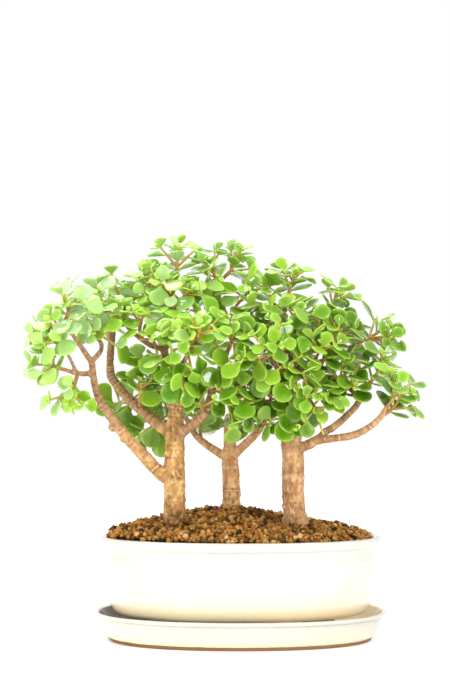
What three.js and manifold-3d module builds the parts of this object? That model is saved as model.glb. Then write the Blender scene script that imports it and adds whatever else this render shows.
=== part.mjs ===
// Jade bonsai: a group planting of three dwarf jade trees (Portulacaria afra) in a cream-glazed
// oval pot that stands in its own oval drip tray.
//
// Units are millimetres. +Z is up, +X runs along the pot's long side, and -Y is the front.
// The origin is the middle of the tray's flat underside.
//
// Pieces: drip tray, pot, drain mesh, soil, three woody trees (each a trunk with its limbs in one
// solid), and 53 leafy shoots, each a green stem with side shoots and thick round leaves.

import * as THREE from "three";
import { mergeVertices } from "three/addons/utils/BufferGeometryUtils.js";
import Module from "manifold-3d";

const wasm = await Module();
wasm.setup();

// ---------------------------------------------------------------------------------------------
// Driving dimensions
// ---------------------------------------------------------------------------------------------

const OVAL_POWER = 2.2; // superellipse exponent of the pot's and the tray's plan
const OVAL_SIDES = 34; // facets round the pot and the tray
const INNER_RADIUS = 45; // half-widths below this shrink evenly towards the middle of a floor
const CLEARANCE = 0.3; // gap between pieces that touch

const TRAY = { halfWidth: 86, halfLength: 114, height: 22.2, floor: 5.2 };
const POT = { halfWidth: 80, halfLength: 110, rim: 80.5, floorBottom: 19, floorTop: 24.5 };
const FOOT = { x: 60, y: 34, halfLength: 13, halfWidth: 6 };
const DRAIN = { radius: 9, meshHalf: 14, meshThickness: 1, meshHole: 2.2, meshPitch: 6.5 };

const SOIL = { rim: 79, dome: 9, ridge: 11, ridgeX: -8, ridgeY: 26, grainStep: 10.4 };

const TRUNK_SIDES = 9;
const LIMB_SIDES = 4;
const THICK_LIMBS = [2.6, 3.6]; // a limb gets one more side for each of these radii that its base reaches
const LEAFY_END = 10; // what a limb's table is shortened by where a shoot goes on from its end

const CROWN = new THREE.Vector3(-12, 5, 195); // middle of the crown
const CROWN_SPREAD = new THREE.Vector3(150, 90, 110);
const LEAF = { length: 17.5, width: 14.6, thickness: 2, lift: 0.75, keel: 0.42 };
// Outline of a leaf beyond its root, as shares of its length and of its half-width.
const RIM = [[0.38, 0.88], [0.8, 0.88], [1.01, 0], [0.8, -0.88], [0.38, -0.88]];
const LEAVES_KEPT = 0.35; // share of the leaves that this model keeps
const NEW_STEM_COST = 30; // millimetres of room that a leaf needs extra to bring a side shoot along
const OUTER_WORTH = 20; // millimetres of room that a leaf at the crown's edge is worth more
const SHOOT = {
  baseRadius: 1.6, tipRadius: 0.95, steps: 3, internode: 9.5, bareShare: 0.3, leafReach: 12, shortest: 11,
};
const SIDE_SHOOT = { length: 14, extra: 12, radius: 0.95, start: 2.8 };
const PAIR_SIZES = [0.72, 0.92, 1]; // of a stem's pairs of leaves from its tip down
const SIDE_PAIRS = [[0.94, 0.78], [0.58, 0.97]]; // place along a side shoot, and size
const NODE_HALF = 0.9; // half the length of stem that a pair of leaves grows out of
const TINY = 1e-3;
const SIMPLIFY = 0.15; // detail of the shoots finer than this is dropped

const VIEW = new THREE.Vector3(-12, -1500, 200); // where someone in front looks from
// Stretches of limb, as shares of their length, that no leaf stands in front of.
const OPEN_LIMBS = [
  ["left_trunk", 0, 0.85], ["left_low", 0, 1], ["left_low_stub", 0, 1], ["left_low_a", 0, 0.5],
  ["left_low_b", 0, 0.6], ["left_low_c", 0, 0.8], ["left_mid", 0, 1], ["left_mid_up", 0, 0.75],
  ["left_lead_a", 0, 0.7], ["left_right", 0, 0.62], ["middle_trunk", 0, 0.62], ["middle_left", 0, 0.45],
  ["middle_right", 0, 0.5], ["right_trunk", 0, 0.55], ["right_fork", 0, 1], ["right_upper", 0, 0.7],
  ["right_lower", 0, 0.85],
];
const OPEN_STEPS = 23;

const COLOURS = {
  glaze: 0xf4efdc,
  mesh: 0x2b2d2b,
  soil: 0x8a5530,
  bark: 0xb08660,
  leaf: 0x5fae2a,
};

// ---------------------------------------------------------------------------------------------
// Limbs: each is a list of [x, y, z, radius] along its centre line. A limb starts inside the one
// that carries it.
// ---------------------------------------------------------------------------------------------

const LIMBS = {
  left_trunk: [
    [-51, -18, 51, 9], [-51, -18, 90, 8.8], [-51, -18, 109, 8.3], [-51, -18, 141, 7.7],
    [-51, -17, 163, 7.3], [-50, -16, 177, 5.9], [-49, -16, 186, 5.1],
  ],
  left_low: [
    [-52, -18, 125, 5.2], [-61, -19, 129, 5.2], [-76, -24, 145, 4.8], [-91, -28, 161.5, 4.4],
    [-99, -30, 173, 3.9], [-107, -31, 184, 3.5], [-112, -30, 197, 2.9], [-115, -28, 217, 2.5],
  ],
  left_low_stub: [[-92, -28, 167, 2.9], [-98, -31, 166, 2.7], [-101, -32, 165, 2.4]],
  left_low_a: [
    [-115, -28, 216, 2.3], [-123, -34, 228, 2.1], [-130, -39, 239, 1.8], [-138, -44, 256, 1.3],
  ],
  left_low_b: [
    [-115, -28, 216, 2.3], [-108, -22, 225, 2], [-109, -18, 232, 1.8], [-121, -10, 240, 1.3],
  ],
  left_low_c: [[-114, -28, 207, 2.3], [-125, -34, 207, 2], [-135, -39, 210, 1.7], [-143, -43, 214, 1.4]],
  left_low_d: [[-126, -34, 208, 1.6], [-131, -38, 219, 1.4], [-139, -46, 235, 1.1]],
  left_mid: [
    [-52, -17, 158, 4.7], [-58, -15, 163, 4.7], [-70, -8, 172, 4.3], [-82, -1, 182, 3.9],
    [-93, 6, 193, 3.8], [-101, 10, 203, 3.6], [-103, 12, 209, 3.5],
  ],
  left_mid_up: [
    [-103, 12, 208, 3.3], [-103, 13, 220, 3], [-102, 14, 233, 2.9], [-101, 15, 249, 2.5],
  ],
  left_mid_a: [[-101, 15, 247, 2.2], [-105, 12, 255, 1.7], [-110, 9, 268, 1.2]],
  left_mid_b: [[-101, 15, 247, 2.1], [-99, 19, 257, 1.7], [-95, 24, 266, 1.3]],
  left_mid_back: [[-102, 14, 232, 2.4], [-108, 34, 242, 1.9], [-115, 52, 251, 1.5]],
  left_lead: [
    [-49, -15, 177, 3.6], [-53, -8, 194, 3.4], [-56, -3, 211, 3.2], [-60, 3, 227, 2.8],
  ],
  left_lead_a: [[-59, 3, 226, 2.5], [-70, -4, 229, 2.2], [-80, -10, 236, 2], [-93, -18, 246, 1.3]],
  left_lead_b: [
    [-59, 3, 226, 2.5], [-56, 3, 235, 2.2], [-55, 2, 251, 1.9], [-53, 1, 267, 1.6], [-49, 0, 292, 1.2],
  ],
  left_lead_c: [[-55, 2, 252, 1.9], [-63, 8, 264, 1.6], [-71, 11, 274, 1.2]],
  left_lead_front: [[-53, -7, 197, 2.8], [-47, -26, 211, 2.3], [-39, -44, 223, 1.8], [-34, -58, 232, 1.4]],
  left_lead_back: [[-57, -2, 213, 2.7], [-63, 26, 229, 2.1], [-70, 50, 245, 1.6], [-74, 64, 255, 1.3]],
  left_right: [
    [-49, -18, 158, 4.2], [-43, -20, 163, 4], [-34, -25, 170, 3.7], [-27, -29, 177, 3.5],
    [-21, -34, 196, 3.1], [-17, -36, 208, 2.6], [-6, -40, 233, 1.7],
  ],

  middle_trunk: [
    [-7, 28, 46, 7.4], [-7, 28, 96, 7], [-7, 28, 122, 6.9], [-8, 28, 136, 6.6],
    [-8, 28, 150, 5.1], [-8, 28, 166, 5], [-8, 28, 174, 4.4],
  ],
  middle_left: [
    [-9, 28, 139, 3.7], [-22, 32, 147, 3.3], [-28, 36, 151, 3.1], [-36, 43, 158, 2.7], [-50, 56, 182, 1.8],
  ],
  middle_right: [
    [-7, 28, 140, 3.8], [4, 22, 151, 3.4], [11, 18, 158, 3.3], [17, 13, 166, 3], [27, 0, 189, 2],
  ],
  middle_lead: [
    [-8, 28, 162, 3.8], [-4, 33, 182, 3.4], [-1, 37, 200, 3.1], [-2, 41, 220, 2.7],
    [-6, 43, 239, 2.4], [-14, 42, 262, 2], [-19, 40, 276, 1.7], [-14, 40, 284, 1.5], [-6, 42, 291, 1.2],
  ],
  middle_back: [[-1, 38, 205, 2.7], [-10, 58, 218, 2.3], [-20, 76, 230, 1.8]],
  middle_back_right: [[-1, 39, 213, 2.7], [10, 58, 225, 2.3], [24, 76, 235, 1.8]],
  middle_top: [[-10, 43, 249, 1.9], [-2, 34, 263, 1.6], [8, 26, 272, 1.3]],

  right_trunk: [
    [44, -10, 50, 10.3], [43, -10, 90, 9.6], [42, -10, 99, 8.7], [41, -10, 116, 8.5],
    [41, -10, 142, 8.5], [39, -8, 157, 7.5], [37, -3, 194, 7.5], [40, -1, 208, 6.6], [44, 0, 216, 5.2],
  ],
  right_stub: [[42, -2, 205, 5], [53, -9, 211, 4.5], [62, -14, 212, 3.6]],
  right_fork: [[41, -9, 147, 4.2], [49, -12, 150, 3.9], [55, -15, 153, 3.7], [62, -18, 157, 3.6]],
  right_upper: [
    [60, -17, 155, 3], [66, -19, 162, 2.9], [73, -18, 166, 2.9], [88, -10, 179, 2.7],
    [94, -6, 187, 2.5], [103, -1, 202, 1.6],
  ],
  right_lower: [
    [60, -17, 155, 3.2], [69, -24, 156.5, 3.1], [86, -34, 159.5, 3], [98, -37, 165.5, 2.7],
    [107, -39, 173.5, 2.4], [116, -42, 190, 1.6],
  ],
  right_front_low: [[43, -10, 150, 3.4], [47, -22, 168, 2.5], [50, -32, 182, 2], [54, -42, 193, 1.5]],
  right_lead: [
    [42, -1, 213, 3.9], [40, 3, 224, 3], [36, 7, 238, 2.5], [34, 9, 251, 2.1], [39, 9, 276, 1.2],
  ],
  right_lead_b: [[41, 1, 216, 3.3], [52, 10, 229, 2.5], [62, 17, 243, 2.1], [73, 22, 264, 1.3]],
  right_far: [[47, 6, 223, 2.5], [65, 18, 226, 2.2], [82, 28, 227, 1.8], [103, 37, 234, 1.3]],
  right_back: [[41, 2, 204, 3.3], [46, 26, 215, 2.7], [52, 48, 227, 2.3], [56, 62, 237, 1.8]],
  right_front: [[38, -6, 191, 3.1], [31, -26, 205, 2.5], [25, -42, 217, 1.9], [21, -54, 225, 1.4]],
};

// ---------------------------------------------------------------------------------------------
// Shoots: [limb that carries it, place along that limb from 0 to 1, reach, reach of a fork]. A
// reach is the point that the outermost leaves get to.
// ---------------------------------------------------------------------------------------------

const SHOOTS = [
  ["left_low_a", 1, [-132, -44, 253]],
  ["left_low_a", 0.7, [-156, -52, 243]],
  ["left_low_c", 1, [-145, -46, 214]],
  ["left_low_d", 1, [-144, -54, 233]],
  ["left_low_c", 0.5, [-131, -60, 178]],
  ["left_low_b", 1, [-118, -6, 250], [-108, -24, 240]],
  ["left_mid_a", 1, [-112, 6, 264]],
  ["left_mid_b", 1, [-86, 30, 284]],
  ["left_mid_back", 1, [-123, 72, 266]],
  ["left_lead_a", 1, [-98, -30, 260]],
  ["left_lead_a", 0.55, [-80, -36, 263]],
  ["left_lead_a", 0.2, [-71, -46, 243]],
  ["left_lead_b", 1, [-49, 0, 316]],
  ["left_lead_b", 0.75, [-68, -26, 286]],
  ["left_lead_b", 0.55, [-34, -34, 278]],
  ["left_lead_c", 1, [-77, 14, 289]],
  ["left_lead_front", 1, [-28, -82, 249]],
  ["left_lead_front", 0.6, [-52, -70, 245], [-34, -66, 222]],
  ["left_lead_front", 0.3, [-40, -64, 208]],
  ["left_right", 1, [-1, -54, 246]],
  ["left_right", 0.65, [-5, -66, 196], [10, -58, 180]],
  ["left_right", 0.5, [-35, -54, 190]],
  ["left_lead_back", 1, [-78, 84, 273]],
  ["left_mid", 0.45, [-76, -22, 211], [-62, 4, 226]],
  ["left_mid", 0.3, [-66, 20, 165]],
  ["left_mid", 0.62, [-88, 30, 176]],
  ["middle_lead", 1, [5, 46, 309]],
  ["middle_lead", 0.92, [-28, 32, 307], [-30, 12, 276]],
  ["middle_top", 1, [14, 18, 282], [12, -4, 262]],
  ["middle_back", 1, [-33, 98, 251]],
  ["middle_back_right", 1, [41, 98, 257]],
  ["middle_left", 1, [-56, 72, 200]],
  ["middle_left", 0.6, [-32, 52, 178]],
  ["middle_right", 1, [20, -20, 208], [4, -24, 188]],
  ["middle_right", 0.7, [14, -8, 168]],
  ["right_front", 1, [16, -76, 233], [2, -52, 208]],
  ["right_front", 0.5, [38, -62, 213]],
  ["right_trunk", 0.74, [35, -30, 241]],
  ["right_lead", 1, [46, 10, 297]],
  ["right_lead", 0.6, [17, -18, 264]],
  ["right_lead", 0.4, [46, -36, 259]],
  ["right_lead_b", 1, [83, 24, 279]],
  ["right_stub", 1, [85, -14, 253], [70, 4, 262]],
  ["right_stub", 0.6, [65, -50, 234]],
  ["right_far", 1, [130, 38, 252], [130, 26, 236]],
  ["right_far", 0.55, [96, 60, 248]],
  ["right_front_low", 1, [58, -60, 196], [60, -52, 176]],
  ["right_front_low", 0.5, [36, -50, 176]],
  ["right_upper", 1, [121, -4, 226]],
  ["right_upper", 0.75, [82, -34, 216], [64, -30, 214]],
  ["right_lower", 1, [126, -48, 200]],
  ["right_lower", 0.8, [130, -36, 194]],
  ["right_back", 1, [64, 92, 261]],
];

// A limb that ends in a shoot gives its last bit of way up to that shoot.
for (const [limb, place] of SHOOTS) {
  if (place === 1 && !limb.endsWith("_stub")) shorten(LIMBS[limb], LEAFY_END);
}

function shorten(points, length) {
  const end = points.pop();
  const before = points[points.length - 1];
  const step = Math.hypot(end[0] - before[0], end[1] - before[1], end[2] - before[2]);
  if (step < length + 2) shorten(points, Math.max(0.5, length - step));
  else points.push(end.map((value, k) => value + ((before[k] - value) * length) / step));
}

// ---------------------------------------------------------------------------------------------
// Helpers: repeatable chance, vectors, and solids
// ---------------------------------------------------------------------------------------------

// A number from 0 to 1 that depends only on the two whole numbers given.
function chance(seed, index) {
  let h = Math.imul(seed + 1, 0x9e3779b1) ^ Math.imul(index + 1, 0x85ebca77);
  h = Math.imul(h ^ (h >>> 15), 0x2c1b3c6d);
  h = Math.imul(h ^ (h >>> 12), 0x297a2d39);
  return ((h ^ (h >>> 15)) >>> 0) / 4294967296;
}

const vec = (x, y, z) => new THREE.Vector3(x, y, z);
const along = (from, direction, distance) => from.clone().addScaledVector(direction, distance);

// The closed three.js geometry as a manifold-3d solid, facing out.
function solidOf(geometry) {
  const bare = geometry.clone();
  bare.deleteAttribute("normal");
  bare.deleteAttribute("uv");
  const merged = mergeVertices(bare, 1e-4);
  const triVerts = new Uint32Array(merged.index.array);
  const vertProperties = new Float32Array(merged.attributes.position.array);
  const made = new wasm.Manifold(new wasm.Mesh({ numProp: 3, vertProperties, triVerts }));
  if (made.volume() >= 0) return made;
  for (let i = 0; i < triVerts.length; i += 3) triVerts.subarray(i + 1, i + 3).reverse();
  return new wasm.Manifold(new wasm.Mesh({ numProp: 3, vertProperties, triVerts }));
}

function geometryOf(solid) {
  const mesh = solid.getMesh();
  return new THREE.BufferGeometry()
    .setAttribute("position", new THREE.BufferAttribute(mesh.vertProperties, 3))
    .setIndex(new THREE.BufferAttribute(mesh.triVerts, 1));
}

// Moves every vertex of a geometry to where the function puts it.
function reshape(geometry, place) {
  const position = geometry.attributes.position;
  const p = vec(0, 0, 0);
  for (let i = 0; i < position.count; i++) {
    place(p.fromBufferAttribute(position, i));
    position.setXYZ(i, p.x, p.y, p.z);
  }
  return geometry;
}

// The largest body of a solid: loose scraps that a cut leaves are dropped.
function mainBody(solid) {
  const bodies = solid.decompose();
  return bodies.reduce((a, b) => (b.volume() > a.volume() ? b : a));
}

const union = (solids) => wasm.Manifold.union(solids);

// ---------------------------------------------------------------------------------------------
// Oval ware: a profile of [half-width, height] swept round a superellipse
// ---------------------------------------------------------------------------------------------

function ovalSolid(profile, lengthening) {
  const points = profile.map(([r, z]) => new THREE.Vector2(r, z));
  const lathe = new THREE.LatheGeometry(points, OVAL_SIDES);
  const bend = (c) => Math.sign(c) * Math.abs(c) ** (2 / OVAL_POWER);
  reshape(lathe, (p) => {
    const halfWidth = Math.hypot(p.x, p.z);
    const share = Math.min(1, halfWidth / INNER_RADIUS);
    const angle = Math.atan2(p.z, p.x);
    const halfLength = halfWidth + lengthening * share;
    p.set(halfLength * bend(Math.cos(angle)), halfWidth * bend(Math.sin(angle)), p.y);
  });
  return solidOf(lathe);
}

// The pot's and the tray's half-length is their half-width plus this.
const TRAY_EXTRA = TRAY.halfLength - TRAY.halfWidth;
const POT_EXTRA = POT.halfLength - POT.halfWidth;

function makeTray() {
  const { halfWidth: w, height: h, floor } = TRAY;
  return ovalSolid([
    [0, 0], [w - 12, 0], [w - 11, 2.6], [w - 8.2, 4.6], [w - 3.6, 13],
    [w, h - 0.9], [w - 0.8, h], [w - 3.2, h - 0.3],
    [w - 7, 14], [w - 13, 6.8], [w - 20, floor], [0, floor],
  ], TRAY_EXTRA);
}

// Inner wall of the pot from the rim down to its floor; the soil fills it.
const POT_INSIDE = [[74.5, 80.3], [73, 72], [72.6, 50], [69, 36], [62, 27.5], [50, POT.floorTop]];

function makePot() {
  const w = POT.halfWidth;
  const shell = ovalSolid([
    [0, POT.floorBottom], [w - 26, POT.floorBottom], [w - 17, 19.6], [w - 11.5, 22],
    [w - 7.5, 28], [w - 5, 36], [w - 2.8, 47], [w - 1.8, 59], [w - 2.8, 72.6],
    [w - 0.4, 74], [w, 77], [w - 0.6, POT.rim], ...POT_INSIDE, [0, POT.floorTop],
  ], POT_EXTRA);
  const feet = [-1, 1].flatMap((sx) => [-1, 1].map((sy) => {
    const height = POT.floorBottom + 1 - TRAY.floor - CLEARANCE;
    const foot = new THREE.CylinderGeometry(1, 0.86, height, 8);
    foot.rotateX(Math.PI / 2).scale(FOOT.halfLength, FOOT.halfWidth, 1).rotateZ(-0.35 * sx * sy);
    return solidOf(foot.translate(sx * FOOT.x, sy * FOOT.y, TRAY.floor + CLEARANCE + height / 2));
  }));
  const drain = new THREE.CylinderGeometry(DRAIN.radius, DRAIN.radius, 20, 16).rotateX(Math.PI / 2);
  return union([shell, ...feet]).subtract(solidOf(drain.translate(0, 0, POT.floorBottom)));
}

// A square of plastic mesh over the drain hole, on the pot's floor.
function makeDrainMesh() {
  const { meshHalf: half, meshThickness: thick, meshHole: hole, meshPitch: pitch } = DRAIN;
  const z = POT.floorTop + CLEARANCE + thick / 2;
  const plate = new THREE.BoxGeometry(2 * half, 2 * half, thick).translate(0, 0, z);
  const holes = [];
  for (let x = -1; x <= 1; x++) {
    for (let y = -1; y <= 1; y++) {
      const cut = new THREE.BoxGeometry(2 * hole, 2 * hole, 3 * thick);
      holes.push(solidOf(cut.translate(x * pitch, y * pitch, z)));
    }
  }
  return solidOf(plate).subtract(union(holes));
}

// ---------------------------------------------------------------------------------------------
// Soil: a mound of baked clay grains, as relief
// ---------------------------------------------------------------------------------------------

// Height of the mound without its grains.
function soilHeight(x, y) {
  const out = (Math.abs(x) / 104) ** OVAL_POWER + (Math.abs(y) / 74) ** OVAL_POWER;
  const dome = SOIL.dome * Math.max(0, 1 - out ** 3);
  const ridge = SOIL.ridge * Math.exp(-(((x - SOIL.ridgeX) / 48) ** 2) - ((y - SOIL.ridgeY) / 34) ** 2);
  return SOIL.rim + dome + ridge - 0.015 * x;
}

function makeSoil(trees) {
  const { grainStep: step } = SOIL;
  const across = Math.ceil((2 * POT.halfLength) / step);
  const deep = Math.ceil((2 * POT.halfWidth) / (step * 0.87));
  const bottom = POT.floorTop + CLEARANCE;
  const block = new THREE.BoxGeometry(across * step, deep * step * 0.87, 2, across, deep, 1);
  reshape(block, (p) => {
    if (p.z < 0) {
      p.z = bottom - 1;
      return;
    }
    const row = Math.round(p.y / (step * 0.87) + deep / 2);
    const column = Math.round(p.x / step + across / 2);
    // Two of three lattice points are low, so each third one stands up as a grain.
    const grain = (column + row) % 3 === 0 ? 1.2 + 1.6 * chance(row, column) : -1.1 * chance(column, row);
    p.x += (row % 2 ? 0.25 : -0.25) * step;
    p.z = soilHeight(p.x, p.y) + grain;
  });
  const gap = CLEARANCE * 1.2;
  const inside = POT_INSIDE.map(([r, z]) => [r - gap, z + CLEARANCE]);
  const room = ovalSolid([[0, bottom], ...inside.reverse(), [74.5 - gap, 200], [0, 200]], POT_EXTRA);
  const meshSide = 2 * (DRAIN.meshHalf + gap);
  const meshRoom = new THREE.BoxGeometry(meshSide, meshSide, DRAIN.meshThickness + 2 * gap);
  meshRoom.translate(0, 0, bottom + DRAIN.meshThickness / 2);
  return solidOf(block).intersect(room).subtract(union([solidOf(meshRoom), ...trees]));
}

// ---------------------------------------------------------------------------------------------
// Limbs: a cylinder bent along a smooth line through its points
// ---------------------------------------------------------------------------------------------

// The point and the heading at a share t of a line of points.
function onLine(line, t) {
  const place = t * (line.length - 1);
  const i = Math.min(line.length - 2, Math.floor(place));
  const heading = line[i + 1].clone().sub(line[i]).normalize();
  return { point: line[i].clone().lerp(line[i + 1], place - i), heading };
}

// The centre and the radius of a limb at a share t of its points.
function limbAt(points, t) {
  const place = t * (points.length - 1);
  const i = Math.min(points.length - 2, Math.floor(place));
  const centre = onLine(points.map(([x, y, z]) => vec(x, y, z)), t).point;
  return { centre, radius: points[i][3] + (points[i + 1][3] - points[i][3]) * (place - i) };
}

// A closed tube along a line of points, with a radius at each and a number of sides.
function tube(line, radii, sides) {
  const steps = line.length - 1;
  const headingAt = (i) => onLine(line, Math.min(i, steps - 1) / steps + 0.5 / steps).heading;
  let normal = Math.abs(headingAt(0).x) < 0.8 ? vec(1, 0, 0) : vec(0, 0, 1);
  const rings = line.map((centre, i) => {
    const tangent = headingAt(i).add(headingAt(Math.max(0, i - 1))).normalize();
    normal = normal.clone().addScaledVector(tangent, -normal.dot(tangent)).normalize();
    return { centre, normal, side: normal.clone().cross(tangent), radius: radii[i] };
  });
  return reshape(new THREE.CylinderGeometry(1, 1, 1, sides, steps), (p) => {
    const { centre, normal: across, side, radius } = rings[Math.round((p.y + 0.5) * steps)];
    const { x, z } = p;
    p.copy(centre).addScaledVector(across, x * radius).addScaledVector(side, z * radius);
  });
}

// A limb, or the room that it needs where grow is the gap round it.
function limbSolid(name, grow = 0) {
  const points = LIMBS[name];
  const line = points.map(([x, y, z]) => vec(x, y, z));
  line[0] = along(line[0], onLine(line, 0).heading, -grow);
  line.push(along(line.at(-1), onLine(line, 1).heading, grow + TINY));
  const extraSides = THICK_LIMBS.filter((radius) => points[0][3] >= radius).length;
  const sides = name.endsWith("_trunk") ? TRUNK_SIDES : LIMB_SIDES + extraSides;
  const radii = [...points, points.at(-1)].map((p) => p[3] + grow);
  return solidOf(tube(grow ? line : line.slice(0, -1), grow ? radii : radii.slice(0, -1), sides));
}

const limbsOf = (tree) => Object.keys(LIMBS).filter((name) => name.startsWith(tree));
const makeTree = (tree) => union(limbsOf(tree).map((name) => limbSolid(name)));

// ---------------------------------------------------------------------------------------------
// Shoots: how each one grows. A leaf is { base, along, normal, length, width }.
// ---------------------------------------------------------------------------------------------

// The unit vector square to a stem, at an angle round it.
function outOf(stem, angle) {
  const e1 = Math.abs(stem.z) < 0.9 ? vec(0, 0, 1).cross(stem).normalize() : vec(1, 0, 0);
  const e2 = stem.clone().cross(e1).normalize();
  return e1.multiplyScalar(Math.cos(angle)).addScaledVector(e2, Math.sin(angle));
}

// One leaf of an opposite pair, standing out of a stem at a point of it. It turns its face up and
// away from the middle of the crown.
function leafOn(base, stem, angle, size, lift, seed, index) {
  const out = outOf(stem, angle);
  const direction = out.clone().addScaledVector(stem, lift).normalize();
  const light = base.clone().sub(CROWN).divide(CROWN_SPREAD).add(vec(0, 0, LEAF.lift)).normalize();
  const normal = stem.clone().addScaledVector(out, -lift).normalize().addScaledVector(light, 1.1);
  normal.addScaledVector(direction, -normal.dot(direction)).normalize();
  const length = LEAF.length * size * (0.88 + 0.24 * chance(seed, index + 500));
  const width = (length * LEAF.width) / LEAF.length;
  return { base, direction, normal, side: direction.clone().cross(normal), length, width };
}

const leafCentre = (leaf) => along(leaf.base, leaf.direction, leaf.length * 0.55);
const outness = (leaf) => leafCentre(leaf).sub(CROWN).divide(CROWN_SPREAD).length();

// Whether any spoke of disc a comes within the gap of disc b.
function spokesHit(a, b, gap) {
  const centreA = leafCentre(a);
  const centreB = leafCentre(b);
  const start = centreA.clone().sub(centreB).dot(b.normal);
  for (let k = 0; k < 8; k++) {
    const turn = (k * Math.PI) / 4;
    const rim = centreA.clone();
    rim.addScaledVector(a.direction, Math.cos(turn) * a.length * 0.45);
    rim.addScaledVector(a.side, Math.sin(turn) * a.width * 0.47);
    const end = rim.clone().sub(centreB).dot(b.normal);
    if (start * end > 0 && Math.min(Math.abs(start), Math.abs(end)) > gap) continue;
    const share = start * end < 0 ? start / (start - end) : Math.abs(start) < Math.abs(end) ? 0 : 1;
    if (centreA.clone().lerp(rim, share).distanceTo(centreB) < b.length * 0.46) return true;
  }
  return false;
}

function leavesClash(a, b, gap) {
  if (leafCentre(a).distanceTo(leafCentre(b)) > (a.length + b.length) / 2 + gap) return false;
  return spokesHit(a, b, gap) || spokesHit(b, a, gap);
}

// Points with a radius all along a line of [point, radius], for keeping leaves off wood and stems.
function ballsAlong(line, radii) {
  return line.slice(1).flatMap((end, i) => {
    const count = Math.max(1, Math.ceil(end.distanceTo(line[i]) / 3));
    return Array.from({ length: count }, (_, k) => {
      const share = (k + 1) / count;
      const radius = radii[i] + (radii[i + 1] - radii[i]) * share;
      return { centre: line[i].clone().lerp(end, share), radius };
    });
  });
}

// Whether a ball cuts the blade of a leaf. The leaf's own root doesn't count.
function ballHits(leaf, { centre, radius }) {
  const offset = centre.clone().sub(leafCentre(leaf));
  if (offset.lengthSq() > (leaf.length * 0.55 + radius) ** 2) return false;
  if (centre.distanceTo(leaf.base) < radius + 3) return false;
  const x = offset.dot(leaf.direction) / (leaf.length * 0.47 + radius);
  const y = offset.dot(leaf.side) / (leaf.width * 0.49 + radius);
  return Math.abs(offset.dot(leaf.normal)) < radius + LEAF.thickness * 0.7 && x * x + y * y < 1;
}

// Points with a radius along the stretches of limb that are seen from the front.
const openSpots = OPEN_LIMBS.flatMap(([name, start, end]) => {
  const places = Array.from({ length: OPEN_STEPS + 1 }, (_, i) => start + ((end - start) * i) / OPEN_STEPS);
  return places.map((place) => limbAt(LIMBS[name], place));
});

// Where a point lies across the view of someone who stands in front.
function fromFront(point) {
  const nearer = VIEW.y / (VIEW.y - point.y);
  return new THREE.Vector2((point.x - VIEW.x) * nearer, (point.z - VIEW.z) * nearer);
}

// Whether a leaf stands in front of a stretch of limb that is to be seen.
function hidesLimb(leaf) {
  const centre = leafCentre(leaf);
  const spots = [centre];
  for (let k = 0; k < 8; k++) {
    const turn = (k * Math.PI) / 4;
    const rim = along(centre, leaf.direction, Math.cos(turn) * leaf.length * 0.42);
    spots.push(rim.addScaledVector(leaf.side, Math.sin(turn) * leaf.width * 0.42));
  }
  const seen = spots.map(fromFront);
  return openSpots.some((open) => open.centre.y > centre.y - 2
    && seen.some((spot) => spot.distanceTo(fromFront(open.centre)) < open.radius + 0.5));
}

// The stems and the leaves of every shoot. A stem is { line, from, to, nodes } with its radii at
// both ends, and a node is a place on a stem that carries a pair of leaves.
function growShoots() {
  const shoots = SHOOTS.map(growStems);
  const balls = Object.values(LIMBS).flatMap((points) =>
    ballsAlong(points.map(([x, y, z]) => vec(x, y, z)), points.map((p) => p[3])));
  for (const { stems } of shoots) {
    for (const { line, from, to } of stems) {
      balls.push(...ballsAlong(line, line.map((_, i) => from + ((to - from) * i) / (line.length - 1))));
    }
  }
  const placed = [];
  const fits = (leaf) => !hidesLimb(leaf) && !balls.some((ball) => ballHits(leaf, ball))
    && !placed.some((other) => leavesClash(leaf, other, LEAF.thickness * 0.75));
  shoots.forEach((shoot, seed) => shoot.stems.forEach((stem, stemIndex) => {
    for (const node of stem.nodes) {
      const { point, heading, angle, size, index } = node;
      for (let half = 0; half < 2; half++) {
        const key = index + half;
        for (let attempt = 0; attempt < TRIES.length; attempt++) {
          const [swing, raise] = TRIES[attempt];
          const turn = angle + half * Math.PI + swing;
          const lift = 0.3 + 0.5 * chance(seed, key) + raise;
          const leaf = leafOn(point, heading, turn, size * (1 - 0.05 * attempt), lift, seed, key);
          if (!fits(leaf)) continue;
          placed.push(leaf);
          shoot.leaves.push(Object.assign(leaf, { stem: stemIndex, node }));
          break;
        }
      }
    }
  }));
  return shoots;
}

// Where a leaf finds no room, it is turned round its stem and raised along it by these.
const TRIES = [[0, 0], [0.45, 0.1], [-0.45, 0.1], [0.8, 0.5], [-0.8, 0.5], [0.2, 1.1]];

// The main stem of one shoot, its fork if it has one, and their side shoots, without their leaves.
function growStems([limb, place, outermost, ofFork], seed) {
  const root = limbAt(LIMBS[limb], place);
  const bare = (length) => Math.min(0.5, Math.max(SHOOT.bareShare, (root.radius + 5) / length));
  const stems = leafyStems(root.centre, vec(...outermost), bare, seed);
  if (ofFork) {
    const start = onLine(stems[0].line, 0.3).point;
    const fork = leafyStems(start, vec(...ofFork), () => 0.35, seed + 100);
    for (const side of fork.slice(1)) side.parent = stems.length;
    stems.push(...fork);
  }
  return { limb, stems, leaves: [] };
}

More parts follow.
